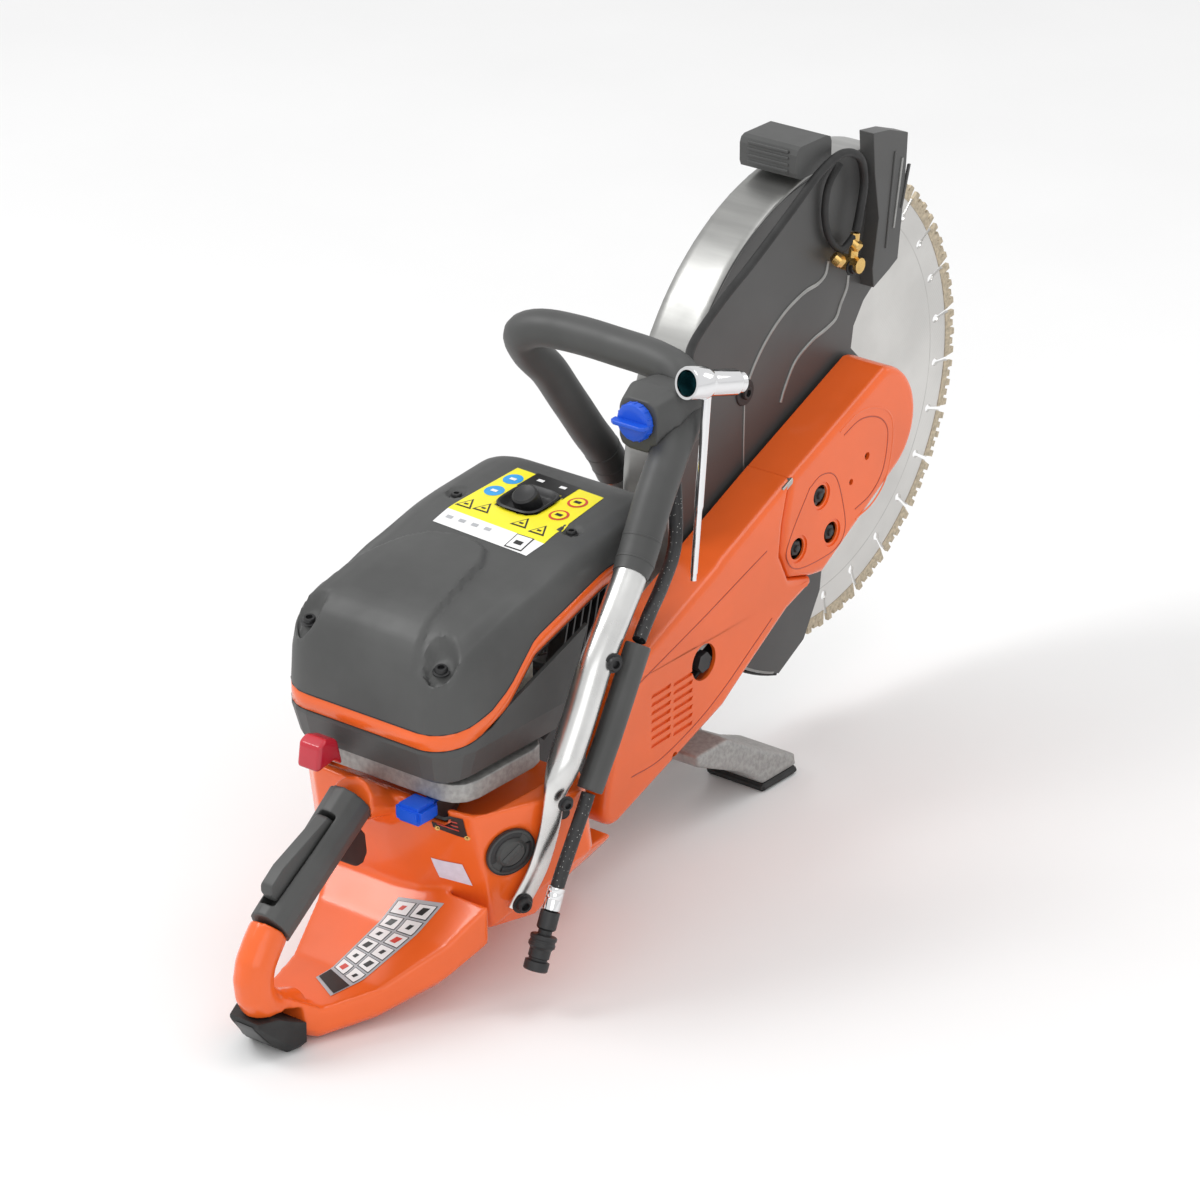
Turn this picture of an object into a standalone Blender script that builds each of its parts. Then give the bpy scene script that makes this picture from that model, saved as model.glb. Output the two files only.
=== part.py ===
"""Concrete cut-off saw: petrol power cutter with a 400 mm diamond blade.

X points forward to the blade, Y to the operator's left, Z up from the ground.
Every piece is laid out from the arbor, the blade's own axis. The empty
"saw_origin" carries all of them, so that the world origin lies on the ground
under the middle of the saw.
"""

import math

import bpy
import bmesh
from mathutils import Vector
from mathutils.geometry import tessellate_polygon

# ---------------------------------------------------------------- dimensions
ORIGIN = Vector((0.2600, 0.025, 0.0))      # where the arbor's foot point lies

GAP = 0.0003
ARBOR_Z = 0.264
BLADE_R = 0.200
BLADE_HALF = 0.0016
SEGMENTS = 28
SLOT_PHASE = math.radians(7.4)
SLOT_FLOOR_R = 0.174
SLOT_HALF = 0.0014
SHAFT_R = 0.0125
FLANGE_R = 0.0525

GUARD_R = 0.2145
GUARD_HALF = 0.0215
GUARD_WALL = 0.0022
HOUSING_R = 0.033

CRANK = Vector((-0.292, 0.0, 0.126))
CYL_TILT = math.radians(25.0)
UP = Vector((-math.sin(CYL_TILT), 0.0, math.cos(CYL_TILT)))   # along the cylinder
ACROSS = Vector((math.cos(CYL_TILT), 0.0, math.sin(CYL_TILT)))
BORE_R = 0.028
CRANK_THROW = 0.019
ROD_LENGTH = 0.073
MID_STROKE = math.sqrt(ROD_LENGTH ** 2 - CRANK_THROW ** 2)

DRIVE_R = 0.0175
DRIVEN_R = 0.0325
BELT_THICK = 0.003
BELT_Y = (-0.0625, -0.0505)

COVER_FACE_Y = -0.069
COVER_SKIRT_Y = -0.0265
COVER_WALL = 0.0025

BODY_Y = -0.0225                           # middle of the filter cover
COVER_X = (-0.577, -0.312)
COVER_HALF_WIDTH = 0.0825

GRIP_TOP = Vector((-0.588, -0.021, 0.155))
GRIP_END = Vector((-0.684, -0.026, 0.093))

HANDLE_R = 0.0125
SLEEVE_R = 0.0145
HOSE_R = 0.00525

# ----------------------------------------------------------------- materials
PAINTS = {
    "orange": ((0.80, 0.13, 0.02), 0.28, 0.0),
    "dark_grey": ((0.075, 0.075, 0.075), 0.60, 0.0),
    "black": ((0.015, 0.015, 0.015), 0.55, 0.0),
    "steel": ((0.45, 0.44, 0.42), 0.35, 1.0),
    "aluminium": ((0.55, 0.55, 0.54), 0.38, 1.0),
    "cast": ((0.36, 0.36, 0.35), 0.55, 0.8),
    "chrome": ((0.75, 0.75, 0.76), 0.12, 1.0),
    "brass": ((0.72, 0.50, 0.20), 0.30, 1.0),
    "blue": ((0.01, 0.08, 0.55), 0.40, 0.0),
    "red": ((0.55, 0.02, 0.03), 0.40, 0.0),
    "rubber": ((0.02, 0.02, 0.02), 0.75, 0.0),
    "guard": ((0.13, 0.13, 0.13), 0.45, 0.3),
    "filter": ((0.70, 0.68, 0.60), 0.90, 0.0),
}


def paint(name):
    """The Principled material of one finish, made once."""
    if name in bpy.data.materials:
        return bpy.data.materials[name]
    colour, roughness, metallic = PAINTS[name]
    material = bpy.data.materials.new(name)
    material.use_nodes = True
    shader = material.node_tree.nodes["Principled BSDF"]
    shader.inputs["Base Color"].default_value = (*colour, 1.0)
    shader.inputs["Roughness"].default_value = roughness
    shader.inputs["Metallic"].default_value = metallic
    return material


# --------------------------------------------------------------------- tools
def clear_scene():
    for obj in list(bpy.data.objects):
        bpy.data.objects.remove(obj)
    root = bpy.data.objects.new("saw_origin", None)
    bpy.context.scene.collection.objects.link(root)
    root.location = ORIGIN


def add(name, verts, faces, finish, pivot=None):
    """An object under saw_origin, its own origin at pivot."""
    pivot = Vector(pivot or (0.0, 0.0, 0.0))
    mesh = bpy.data.meshes.new(name)
    mesh.from_pydata([tuple(Vector(v) - pivot) for v in verts], [], faces)
    work = bmesh.new()
    work.from_mesh(mesh)
    bmesh.ops.recalc_face_normals(work, faces=work.faces)
    work.to_mesh(mesh)
    work.free()
    mesh.shade_smooth()
    mesh.set_sharp_from_angle(angle=math.radians(35))
    mesh.materials.append(paint(finish))
    obj = bpy.data.objects.new(name, mesh)
    bpy.context.scene.collection.objects.link(obj)
    obj.parent = bpy.data.objects["saw_origin"]
    obj.location = pivot
    return obj


def helper(obj):
    obj.hide_render = True
    obj.display_type = "WIRE"
    return obj


def combine(obj, other, operation):
    modifier = obj.modifiers.new(other.name, "BOOLEAN")
    modifier.operation = operation
    modifier.solver = "EXACT"
    modifier.object = helper(other)


def cut(obj, *cutters):
    for cutter in cutters:
        combine(obj, cutter, "DIFFERENCE")


def fuse(obj, *others):
    for other in others:
        combine(obj, other, "UNION")


def prism(name, outline, span, finish, holes=(), pivot=None, axis="Y"):
    """An outline in XZ pushed along Y (or one in XY along Z, or one in YZ along X)."""
    place = {
        "Y": lambda a, b, c: (a, c, b),
        "Z": lambda a, b, c: (a, b, c),
        "X": lambda a, b, c: (c, a, b),
    }[axis]
    loops = [list(outline)] + [list(hole) for hole in holes]
    flat = [point for loop in loops for point in loop]
    count = len(flat)
    low, high = span
    verts = [place(a, b, low) for a, b in flat] + [place(a, b, high) for a, b in flat]
    caps = tessellate_polygon([[Vector((a, b, 0.0)) for a, b in loop] for loop in loops])
    faces = [tuple(cap) for cap in caps]
    faces += [tuple(i + count for i in reversed(cap)) for cap in caps]
    start = 0
    for loop in loops:
        size = len(loop)
        for i in range(size):
            a, b = start + i, start + (i + 1) % size
            faces.append((a, b, b + count, a + count))
        start += size
    return add(name, verts, faces, finish, pivot)


def turned(name, profile, centre, finish, axis=(0, 1, 0), steps=20, ring=False):
    """A profile of (radius, height) turned round an axis. A ring's profile is closed."""
    axis = Vector(axis).normalized()
    side = axis.orthogonal().normalized()
    other = axis.cross(side)
    verts, rows = [], []
    for radius, height in profile:
        row = []
        for step in range(1 if radius == 0 else steps):
            turn = math.tau * step / steps
            spoke = side * math.cos(turn) + other * math.sin(turn)
            row.append(len(verts))
            verts.append(Vector(centre) + axis * height + spoke * radius)
        rows.append(row)
    faces = []
    pairs = list(zip(rows, rows[1:])) + ([(rows[-1], rows[0])] if ring else [])
    for low, high in pairs:
        for i in range(steps):
            j = (i + 1) % steps
            corners = [low[i % len(low)], low[j % len(low)]]
            corners += [high[j % len(high)], high[i % len(high)]]
            if len(low) > 1 or len(high) > 1:
                faces.append(tuple(dict.fromkeys(corners)))
    return add(name, verts, faces, finish, centre)


def rod(name, start, end, radius, finish, steps=16):
    """A plain round bar between two points."""
    start, end = Vector(start), Vector(end)
    length = (end - start).length
    profile = [(0, 0), (radius, 0), (radius, length), (0, length)]
    return turned(name, profile, start, finish, end - start, steps)


def ring(name, inner, outer, span, centre, finish, axis=(0, 1, 0), steps=24):
    profile = [(inner, span[0]), (outer, span[0]), (outer, span[1]), (inner, span[1])]
    return turned(name, profile, centre, finish, axis, steps, ring=True)


def smooth_path(points, spacing):
    """Points along the Catmull-Rom curve through the given ones."""
    points = [Vector(p) for p in points]
    ends = [points[0] * 2 - points[1]] + points + [points[-1] * 2 - points[-2]]
    path = []
    for a, b, c, d in zip(ends, ends[1:], ends[2:], ends[3:]):
        count = max(1, round((c - b).length / spacing))
        for step in range(count):
            t = step / count
            path.append(0.5 * (
                2 * b + (c - a) * t + (2 * a - 5 * b + 4 * c - d) * t * t
                + (3 * b - a - 3 * c + d) * t ** 3
            ))
    return path + [points[-1]]


def frames(path, first_side):
    """Two cross directions at each point, carried along without twist."""
    side = Vector(first_side)
    result = []
    for i, point in enumerate(path):
        along = (path[min(i + 1, len(path) - 1)] - path[max(i - 1, 0)]).normalized()
        side = (side - along * side.dot(along)).normalized()
        result.append((point, side, along.cross(side)))
    return result


def swept(name, path, size, finish, sides=12, inner=None, first_side=(0, 1, 0)):
    """A tube along path. size is a radius, or a list of (half width, half height)."""
    sizes = size if isinstance(size, list) else [(size, size)] * len(path)
    verts, faces = [], []

    def skin(scale_pairs):
        rows = []
        for (point, side, up), (wide, high) in zip(frames(path, first_side), scale_pairs):
            row = []
            for step in range(sides):
                turn = math.tau * step / sides
                row.append(len(verts))
                verts.append(point + side * wide * math.cos(turn) + up * high * math.sin(turn))
            rows.append(row)
        return rows

    def bridge(first, second):
        for i in range(sides):
            j = (i + 1) % sides
            faces.append((first[i], first[j], second[j], second[i]))

    outer = skin(sizes)
    for first, second in zip(outer, outer[1:]):
        bridge(first, second)
    if inner is None:
        faces.append(tuple(outer[0]))
        faces.append(tuple(outer[-1]))
    else:
        bore = skin([(inner, inner)] * len(path))
        for first, second in zip(bore, bore[1:]):
            bridge(second, first)
        bridge(bore[0], outer[0])
        bridge(outer[-1], bore[-1])
    return add(name, verts, faces, finish)


def lofted(name, rings, finish, pivot=None):
    """Rings of points with the same count, skinned and closed at both ends."""
    count = len(rings[0])
    verts = [point for points in rings for point in points]
    faces = [tuple(range(count)), tuple(range(len(verts) - count, len(verts)))]
    for row in range(len(rings) - 1):
        for i in range(count):
            j = (i + 1) % count
            a, b = row * count, (row + 1) * count
            faces += [(a + i, a + j, b + j), (a + i, b + j, b + i)]
    return add(name, verts, faces, finish, pivot)


def block(name, low, high, finish, bevel=0.0, pivot=None):
    low, high = Vector(low), Vector(high)
    corners = [
        (x, y, z) for z in (low.z, high.z) for y in (low.y, high.y) for x in (low.x, high.x)
    ]
    faces = [(0, 1, 3, 2), (4, 5, 7, 6), (0, 1, 5, 4), (2, 3, 7, 6), (0, 2, 6, 4), (1, 3, 7, 5)]
    obj = add(name, corners, faces, finish, pivot)
    if bevel:
        work = bmesh.new()
        work.from_mesh(obj.data)
        bmesh.ops.bevel(work, geom=work.edges, offset=bevel, segments=2, affect="EDGES")
        work.to_mesh(obj.data)
        work.free()
    return obj


def arc(centre, radius, start, end, steps):
    """Points on an arc in a plane, angles in degrees."""
    turns = [math.radians(start + (end - start) * i / steps) for i in range(steps + 1)]
    return [
        (centre[0] + radius * math.cos(t), centre[1] + radius * math.sin(t)) for t in turns
    ]


def circle(centre, radius, steps=20):
    return arc(centre, radius, 0, 360, steps)[:-1]


def hexagon(centre, radius, turn=0.0):
    return arc(centre, radius, turn, turn + 360, 6)[:-1]


def rounded_box_outline(low, high, radius, steps=3):
    """A rectangle with round corners, counter-clockwise from its lower right corner."""
    corners = [
        ((high[0] - radius, low[1] + radius), -90),
        ((high[0] - radius, high[1] - radius), 0),
        ((low[0] + radius, high[1] - radius), 90),
        ((low[0] + radius, low[1] + radius), 180),
    ]
    return [
        point for centre, start in corners
        for point in arc(centre, radius, start, start + 90, steps)
    ]


def blend_table(x, table):
    """Piecewise linear value at x from (x, value) pairs."""
    if x <= table[0][0]:
        return table[0][1]
    for (x0, v0), (x1, v1) in zip(table, table[1:]):
        if x <= x1:
            return v0 + (v1 - v0) * (x - x0) / (x1 - x0)
    return table[-1][1]


def moved(point, dx, dz):
    return (point[0] + dx, point[1] + dz)


def grip_point(along, up, side=0.0):
    """A point by its distance along the rear grip, its height over it and its side."""
    run = (GRIP_END - GRIP_TOP).normalized()
    out = Vector((run.z, 0.0, -run.x)).normalized()
    return GRIP_TOP + run * along + out * up + Vector((0, side, 0))


# --------------------------------------------------------------------- blade
def blade_outline():
    outline = []
    pitch = math.tau / SEGMENTS
    for k in range(SEGMENTS):
        middle = SLOT_PHASE + k * pitch
        for radius, side in ((BLADE_R, -1), (SLOT_FLOOR_R, -1), (SLOT_FLOOR_R, 1), (BLADE_R, 1)):
            turn = middle + side * SLOT_HALF / radius
            outline.append((radius * math.cos(turn), ARBOR_Z + radius * math.sin(turn)))
        for share in (0.33, 0.67):
            turn = middle + pitch * share
            outline.append((BLADE_R * math.cos(turn), ARBOR_Z + BLADE_R * math.sin(turn)))
    return outline


def build_blade():
    arbor = (0.0, 0.0, ARBOR_Z)
    prism("blade", blade_outline(), (-BLADE_HALF, BLADE_HALF), "steel",
          [circle((0, ARBOR_Z), SHAFT_R + GAP)], arbor)
    bore = [(0.0054, -0.020), (0.0054, 0.0062)]
    turned("arbor_shaft",
           [(0, -0.0645), (0.0085, -0.0645), (0.0085, -0.0470), (SHAFT_R, -0.0470),
            (SHAFT_R, 0.0062), bore[1], bore[0], (0, -0.020)], arbor, "steel")
    flange = [(SHAFT_R + GAP, 0.0019), (FLANGE_R, 0.0019), (FLANGE_R, 0.0050),
              (0.036, 0.0085), (SHAFT_R + GAP, 0.0085)]
    turned("inner_flange", [(r, -h) for r, h in flange], arbor, "steel", ring=True, steps=28)
    turned("outer_flange", flange, arbor, "steel", ring=True, steps=28)
    bolt = prism("arbor_bolt", hexagon((0, ARBOR_Z), 0.0115), (0.0110, 0.0180), "steel",
                 pivot=arbor)
    shank = turned("arbor_bolt_shank", [(0, -0.017), (0.005, -0.017), (0.005, 0.0088),
                                        (0.0150, 0.0088), (0.0150, 0.0112), (0, 0.0112)],
                   arbor, "steel")
    fuse(bolt, shank)


# --------------------------------------------------------------------- guard
FRONT_EDGE = ((0.0240, 0.0480), (0.0270, 0.0660), (0.0400, 0.0840), (0.0570, 0.0960),
              (0.0680, 0.1150), (0.0720, 0.1550))
GUARD_FRONT_TURN, GUARD_BACK_TURN = 70.5, 252.0


def guard_outline(inset):
    """The side wall seen from the side; inset moves only the round rim inwards."""
    radius = GUARD_R - inset
    points = arc((0, ARBOR_Z), radius, GUARD_FRONT_TURN, GUARD_BACK_TURN, 26)
    points += [(-0.033, ARBOR_Z - 0.186), (-0.012, ARBOR_Z - 0.150), (0.0, ARBOR_Z - 0.052)]
    points += arc((0, ARBOR_Z), 0.052, -90, 60, 6)[1:-1]
    points += [moved(p, 0, ARBOR_Z) for p in FRONT_EDGE]
    return points


def guard_cavity():
    """Everything between the side walls, open at the front and at the trailing end."""
    points = arc((0, ARBOR_Z), GUARD_R - GUARD_WALL, GUARD_FRONT_TURN, GUARD_BACK_TURN, 26)
    points += [(-0.070, ARBOR_Z - 0.30), (0.30, ARBOR_Z - 0.30), (0.30, ARBOR_Z + 0.25),
               (0.0735, ARBOR_Z + 0.25)]
    return points


def build_guard():
    arbor = (0.0, 0.0, ARBOR_Z)
    shell = prism("guard_shell", guard_outline(0.0), (-GUARD_HALF, GUARD_HALF), "guard",
                  [circle((0, ARBOR_Z), HOUSING_R + 0.0006, 24)], arbor)
    inside = GUARD_HALF - GUARD_WALL
    bulge = prism("guard_bulge",
                  [(0.036, ARBOR_Z + 0.100), (0.0660, ARBOR_Z + 0.1150),
                   (0.0710, ARBOR_Z + 0.1550), (0.0760, ARBOR_Z + 0.2150),
                   (0.0500, ARBOR_Z + 0.2220), (0.0460, ARBOR_Z + 0.1600)],
                  (-0.0330, -0.0205), "guard")
    fuse(shell, bulge)
    cut(shell,
        prism("guard_cavity", guard_cavity(), (-inside, inside), "guard"),
        prism("guard_left_opening", circle((0, ARBOR_Z), 0.057, 24), (0.010, 0.040), "guard"))
    grip = prism("guard_handle", rounded_box_outline((-0.066, 0.4795), (-0.020, 0.5060), 0.006, 2),
                 (-0.030, 0.024), "dark_grey", pivot=arbor)
    foot = turned("guard_handle_seat", [(0, -0.05), (GUARD_R + GAP, -0.05),
                                        (GUARD_R + GAP, 0.05), (0, 0.05)],
                  arbor, "guard", steps=80)
    cut(grip, foot)
    flap = arc((0, ARBOR_Z), GUARD_R + 0.0032, 241, 253, 4)
    flap += arc((0, ARBOR_Z), GUARD_R + GAP, 253, 241, 4)
    prism("mud_flap", flap, (-0.0180, 0.0180), "rubber", pivot=arbor)


def build_guard_water():
    """The brass nozzle fitting on the guard's right wall."""
    body = rod("nozzle_fitting", (0.010, -0.0390, 0.390), (0.010, -GUARD_HALF - GAP, 0.390),
               0.0065, "brass", 12)
    barb = rod("nozzle_barb", (0.010, -0.0310, 0.390), (0.013, -0.0310, 0.415), 0.0038,
               "brass", 10)
    fuse(body, barb)
    swept("guard_hose", smooth_path(GUARD_HOSE, 0.014), 0.0034, "rubber", 6)


GUARD_HOSE = [
    (-0.2650, -0.0830, 0.3880), (-0.2450, -0.0650, 0.3900), (-0.2180, -0.0460, 0.3960),
    (-0.1700, -0.0360, 0.4130), (-0.1240, -0.0320, 0.4310), (-0.0760, -0.0350, 0.4620),
    (-0.0450, -0.0375, 0.4830), (-0.0160, -0.0375, 0.4900), (0.0080, -0.0370, 0.4800),
    (0.0220, -0.0320, 0.4550), (0.0190, -0.0312, 0.4330), (0.0138, -0.0310, 0.4160),
]


# --------------------------------------------------------- cutting arm, belt
def arm_frame():
    """From the arbor to the crank: the unit run and the unit normal, in XZ."""
    run = Vector((CRANK.x, CRANK.z - ARBOR_Z))
    length = run.length
    run.normalize()
    return run, Vector((run.y, -run.x)), length


def belt_loop(front, rear):
    """The outline of an open belt round the two pulleys, for radii front and rear."""
    run, normal, length = arm_frame()
    heading = math.degrees(math.atan2(run.y, run.x))
    lean = math.degrees(math.asin((front - rear) / length))
    points = arc((0, ARBOR_Z), front, heading + 90 + lean, heading + 270 - lean, 14)
    points += arc((CRANK.x, CRANK.z), rear, heading - 90 - lean, heading + 90 + lean, 10)
    return points


def build_belt():
    arbor = (0.0, 0.0, ARBOR_Z)
    ring("driven_pulley", 0.0088, DRIVEN_R, (-0.0630, -0.0480), arbor, "steel", steps=28)
    prism("drive_belt", belt_loop(DRIVEN_R + BELT_THICK + GAP, DRIVE_R + BELT_THICK + GAP),
          BELT_Y, "rubber", [belt_loop(DRIVEN_R + GAP, DRIVE_R + GAP)])
    arm = prism("cutting_arm", arm_outline(), (-0.0340, -0.0283), "cast",
                [circle((CRANK.x, CRANK.z), 0.0120, 16)])
    fuse(arm, rod("arm_boss", (0, -0.0460, ARBOR_Z), (0, -0.0120, ARBOR_Z), HOUSING_R, "cast", 24))
    cut(arm, rod("arm_bore", (0, -0.0600, ARBOR_Z), (0, 0.0100, ARBOR_Z), 0.0242, "cast", 24))
    ring("arbor_bearing", SHAFT_R + GAP, 0.0239, (-0.0260, -0.0140), arbor, "chrome")


def arm_outline():
    points = arc((0, ARBOR_Z), 0.036, 65, -65, 8)
    points += arc((CRANK.x, CRANK.z), 0.041, -65, -245, 10)
    return points


COVER_JOINT = ((-0.1180, 0.2600), (-0.1270, 0.2250), (-0.1300, 0.2000), (-0.1180, 0.1750),
               (-0.0880, 0.1660))


def rear_cover_outline():
    points = arc((-0.3390, 0.0640), 0.0150, 165, 290, 4)
    points += [(-0.2030, 0.0970), (-0.1740, 0.1160), (-0.1210, 0.1490), (-0.0890, 0.1600)]
    points += [moved(p, -0.0008, 0.0) for p in reversed(COVER_JOINT)]
    points += [(-0.2060, 0.2215), (-0.2100, 0.2180)]
    points += arc((-0.3110, 0.1480), 0.0240, 110, 170, 4)
    return points


def front_cover_outline():
    points = list(COVER_JOINT)[::-1]
    points += [(0.0060, 0.3120)]
    points += arc((0, ARBOR_Z), 0.0490, 76, -64, 12)
    points += [(-0.0740, 0.1640)]
    return points


def shrunk(points, amount):
    """The outline moved inwards by amount, each corner along its own bisector."""
    area = sum(a[0] * b[1] - b[0] * a[1] for a, b in zip(points, points[1:] + points[:1]))
    sign = 1.0 if area > 0 else -1.0
    result = []
    for i, point in enumerate(points):
        before = Vector(point) - Vector(points[i - 1])
        after = Vector(points[(i + 1) % len(points)]) - Vector(point)
        before.normalize()
        after.normalize()
        normal = Vector((-(before.y + after.y), before.x + after.x)) * sign
        normal.normalize()
        half = max(0.45, abs(normal.x * -before.y * sign + normal.y * before.x * sign))
        result.append(tuple(Vector(point) + normal * (amount / half)))
    return result


NUTS = ((-0.0790, 0.2320), (-0.0640, 0.1955), (-0.1085, 0.1970))
TENSION_BOLT = (-0.2300, 0.1450)


def cover_shell(name, outline, open_rim):
    """A cover with a flat outer face and a skirt, hollow towards the arm."""
    shell = prism(name, outline, (COVER_FACE_Y, COVER_SKIRT_Y), "orange")
    inner = shrunk(outline, COVER_WALL)
    cavity = prism(name + "_cavity", inner, (COVER_FACE_Y + COVER_WALL, 0.0), "orange")
    mouth = prism(name + "_mouth", open_rim, (COVER_FACE_Y + 2 * COVER_WALL, 0.0), "orange")
    cut(shell, cavity, mouth)
    return shell


def build_covers():
    rear_mouth = [(-0.1600, 0.2385), (-0.1600, 0.1285), (-0.1210, 0.1525), (-0.0850, 0.1645),
                  (-0.0850, 0.2550), (-0.1140, 0.2582)]
    front_mouth = [(-0.1500, 0.2430), (-0.1500, 0.1700), (-0.0860, 0.1695), (-0.0700, 0.1750),
                   (-0.0700, 0.2700), (-0.1100, 0.2600)]
    rear = cover_shell("belt_cover_rear", rear_cover_outline(), rear_mouth)
    front = cover_shell("belt_cover_front", front_cover_outline(), front_mouth)
    cut(rear,
        prism("tension_hole", circle(TENSION_BOLT, 0.0105, 16), (-0.08, -0.05), "orange"),
        rod("cylinder_notch", along_cylinder(0.0400), along_cylinder(0.0570), 0.0409, "orange", 18))
    for index, (x, z) in enumerate(NUTS):
        cut(front, prism(f"nut_hole_{index}", circle((x, z), 0.0088, 12), (-0.08, -0.05), "orange"))
        nut = prism(f"cover_nut_{index + 1}", hexagon((x, z), 0.0068, 15 * index),
                    (-0.0675, -0.0630), "black")
        fuse(nut, rod(f"cover_stud_{index + 1}", (x, -0.0690, z), (x, -0.0343, z), 0.0029,
                      "black", 8))
    bolt = prism("belt_tension_bolt", hexagon(TENSION_BOLT, 0.0085, 10), (-0.0700, -0.0630),
                 "black", pivot=(TENSION_BOLT[0], 0, TENSION_BOLT[1]))
    fuse(bolt, rod("tension_stud", (TENSION_BOLT[0], -0.0640, TENSION_BOLT[1]),
                   (TENSION_BOLT[0], -0.0343, TENSION_BOLT[1]), 0.0050, "black", 10))


# -------------------------------------------------------------------- engine
def along_cylinder(s, across=0.0, y=0.0):
    return CRANK + UP * s + ACROSS * across + Vector((0, y, 0))


def build_crank():
    crank = (CRANK.x, 0.0, CRANK.z)
    pin = CRANK + ACROSS * CRANK_THROW
    shaft = turned("crankshaft", [(0, -0.0600), (0.0082, -0.0600), (0.0082, -0.0110),
                                  (0.0290, -0.0110), (0.0290, -0.0050), (0, -0.0050)],
                   crank, "steel", steps=20)
    fuse(shaft,
         turned("crank_left_half", [(0, 0.0050), (0.0290, 0.0050), (0.0290, 0.0110),
                                    (0.0082, 0.0110), (0.0082, 0.0760), (0, 0.0760)],
                crank, "steel", steps=20),
         rod("crank_pin", (pin.x, -0.0060, pin.z), (pin.x, 0.0060, pin.z), 0.0078, "steel", 12))
    hub = ring("clutch_hub", 0.0085, 0.0335, (-0.0460, -0.0355), crank, "steel", steps=20)
    for side in (1, -1):
        cut(hub, block(f"clutch_slit_{side}", (CRANK.x - 0.0010 + side * 0.019, -0.05, CRANK.z - 0.016),
                       (CRANK.x + 0.0010 + side * 0.019, -0.03, CRANK.z + 0.016), "steel"))
    turned("clutch_drum_pulley",
           [(0.0085, -0.0635), (DRIVE_R, -0.0635), (DRIVE_R, -0.0500), (0.0380, -0.0500),
            (0.0380, -0.0345), (0.0345, -0.0345), (0.0345, -0.0470), (0.0085, -0.0470)],
           crank, "steel", ring=True, steps=24)
    fan = ring("flywheel", 0.0085, 0.0520, (0.0500, 0.0600), crank, "aluminium", steps=28)
    for k in range(8):
        turn = math.tau * k / 8
        spoke = Vector((math.cos(turn), 0, math.sin(turn)))
        vane = block(f"fan_vane_{k}", (0.022, 0.0590, -0.0012), (0.050, 0.0690, 0.0012), "aluminium")
        vane.rotation_euler = (0, -turn, 0)
        vane.location = CRANK + spoke * 0.0
        fuse(fan, vane)


def build_cylinder():
    top, floor = 0.131, 0.047
    fins = []
    for k in range(8):
        s = 0.062 + k * 0.0112
        fins += [(0.0330, s), (0.0445, s + 0.0006), (0.0445, s + 0.0026), (0.0330, s + 0.0032)]
    profile = [(BORE_R, floor), (0.0400, floor), (0.0400, floor + 0.0070), (0.0330, floor + 0.0070)]
    profile += fins + [(0.0330, top + 0.016), (0, top + 0.016), (0, top - 0.0095),
                       (BORE_R, top - 0.0095)]
    barrel = turned("cylinder", profile, CRANK, "aluminium", UP, 18, ring=True)
    valve_floor = DECOMPRESSION_FOOT + UP * (top + 0.0160 - DECOMPRESSION_DEPTH)
    cut(barrel, rod("decompression_bore", valve_floor, valve_floor + UP * 0.0300, 0.0069,
                    "aluminium", 14))
    piston = turned("piston", [(0, 0.0985), (0.0277, 0.0985), (0.0277, 0.0485), (0.0240, 0.0485),
                      (0.0240, 0.0920), (0, 0.0920)], CRANK, "aluminium", UP, 18)
    pin = along_cylinder(MID_STROKE)
    fuse(piston, rod("wrist_pin", pin + Vector((0, -0.0250, 0)), pin + Vector((0, 0.0250, 0)),
                     0.0055, "steel", 12))
    big_end = CRANK + ACROSS * CRANK_THROW
    link = (pin - big_end).normalized()
    small = ring("connecting_rod", 0.0058, 0.0100, (-0.0045, 0.0045), pin, "steel", steps=14)
    fuse(small,
         ring("rod_big_end", 0.0082, 0.0130, (-0.0045, 0.0045), big_end, "steel", steps=14),
         swept("rod_shank", [big_end + link * 0.0105, pin - link * 0.0080],
               [(0.0030, 0.0055)] * 2, "steel", 6))


def build_crankcase():
    low, high = 0.0690, 0.1420
    case = prism("crankcase",
                 [(-0.3540, low), (-0.2350, low), (-0.2320, high), (-0.2580, 0.1815),
                  (-0.3400, 0.1435), (-0.3580, 0.1180)],
                 (-0.0220, 0.0290), "cast")
    top = prism("crankcase_neck",
                [tuple(along_cylinder(s, a).xz) for s, a in
                 ((0.0200, -0.0430), (0.0200, 0.0430), (0.0467, 0.0430), (0.0467, -0.0430))],
                (-0.0220, 0.0290), "cast")
    fuse(case, top)
    cut(case,
        rod("case_cavity", (CRANK.x, -0.0120, CRANK.z), (CRANK.x, 0.0120, CRANK.z), 0.0335,
            "cast", 20),
        rod("case_mouth", along_cylinder(0.0), along_cylinder(0.0600), 0.0285, "cast", 18),
        rod("case_bore", (CRANK.x, -0.0350, CRANK.z), (CRANK.x, 0.0350, CRANK.z), 0.0180,
            "cast", 20))


DECOMPRESSION_FOOT = CRANK + ACROSS * -0.0040 + Vector((0.0, -0.0235, 0.0))
DECOMPRESSION_DEPTH = 0.0060


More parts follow.
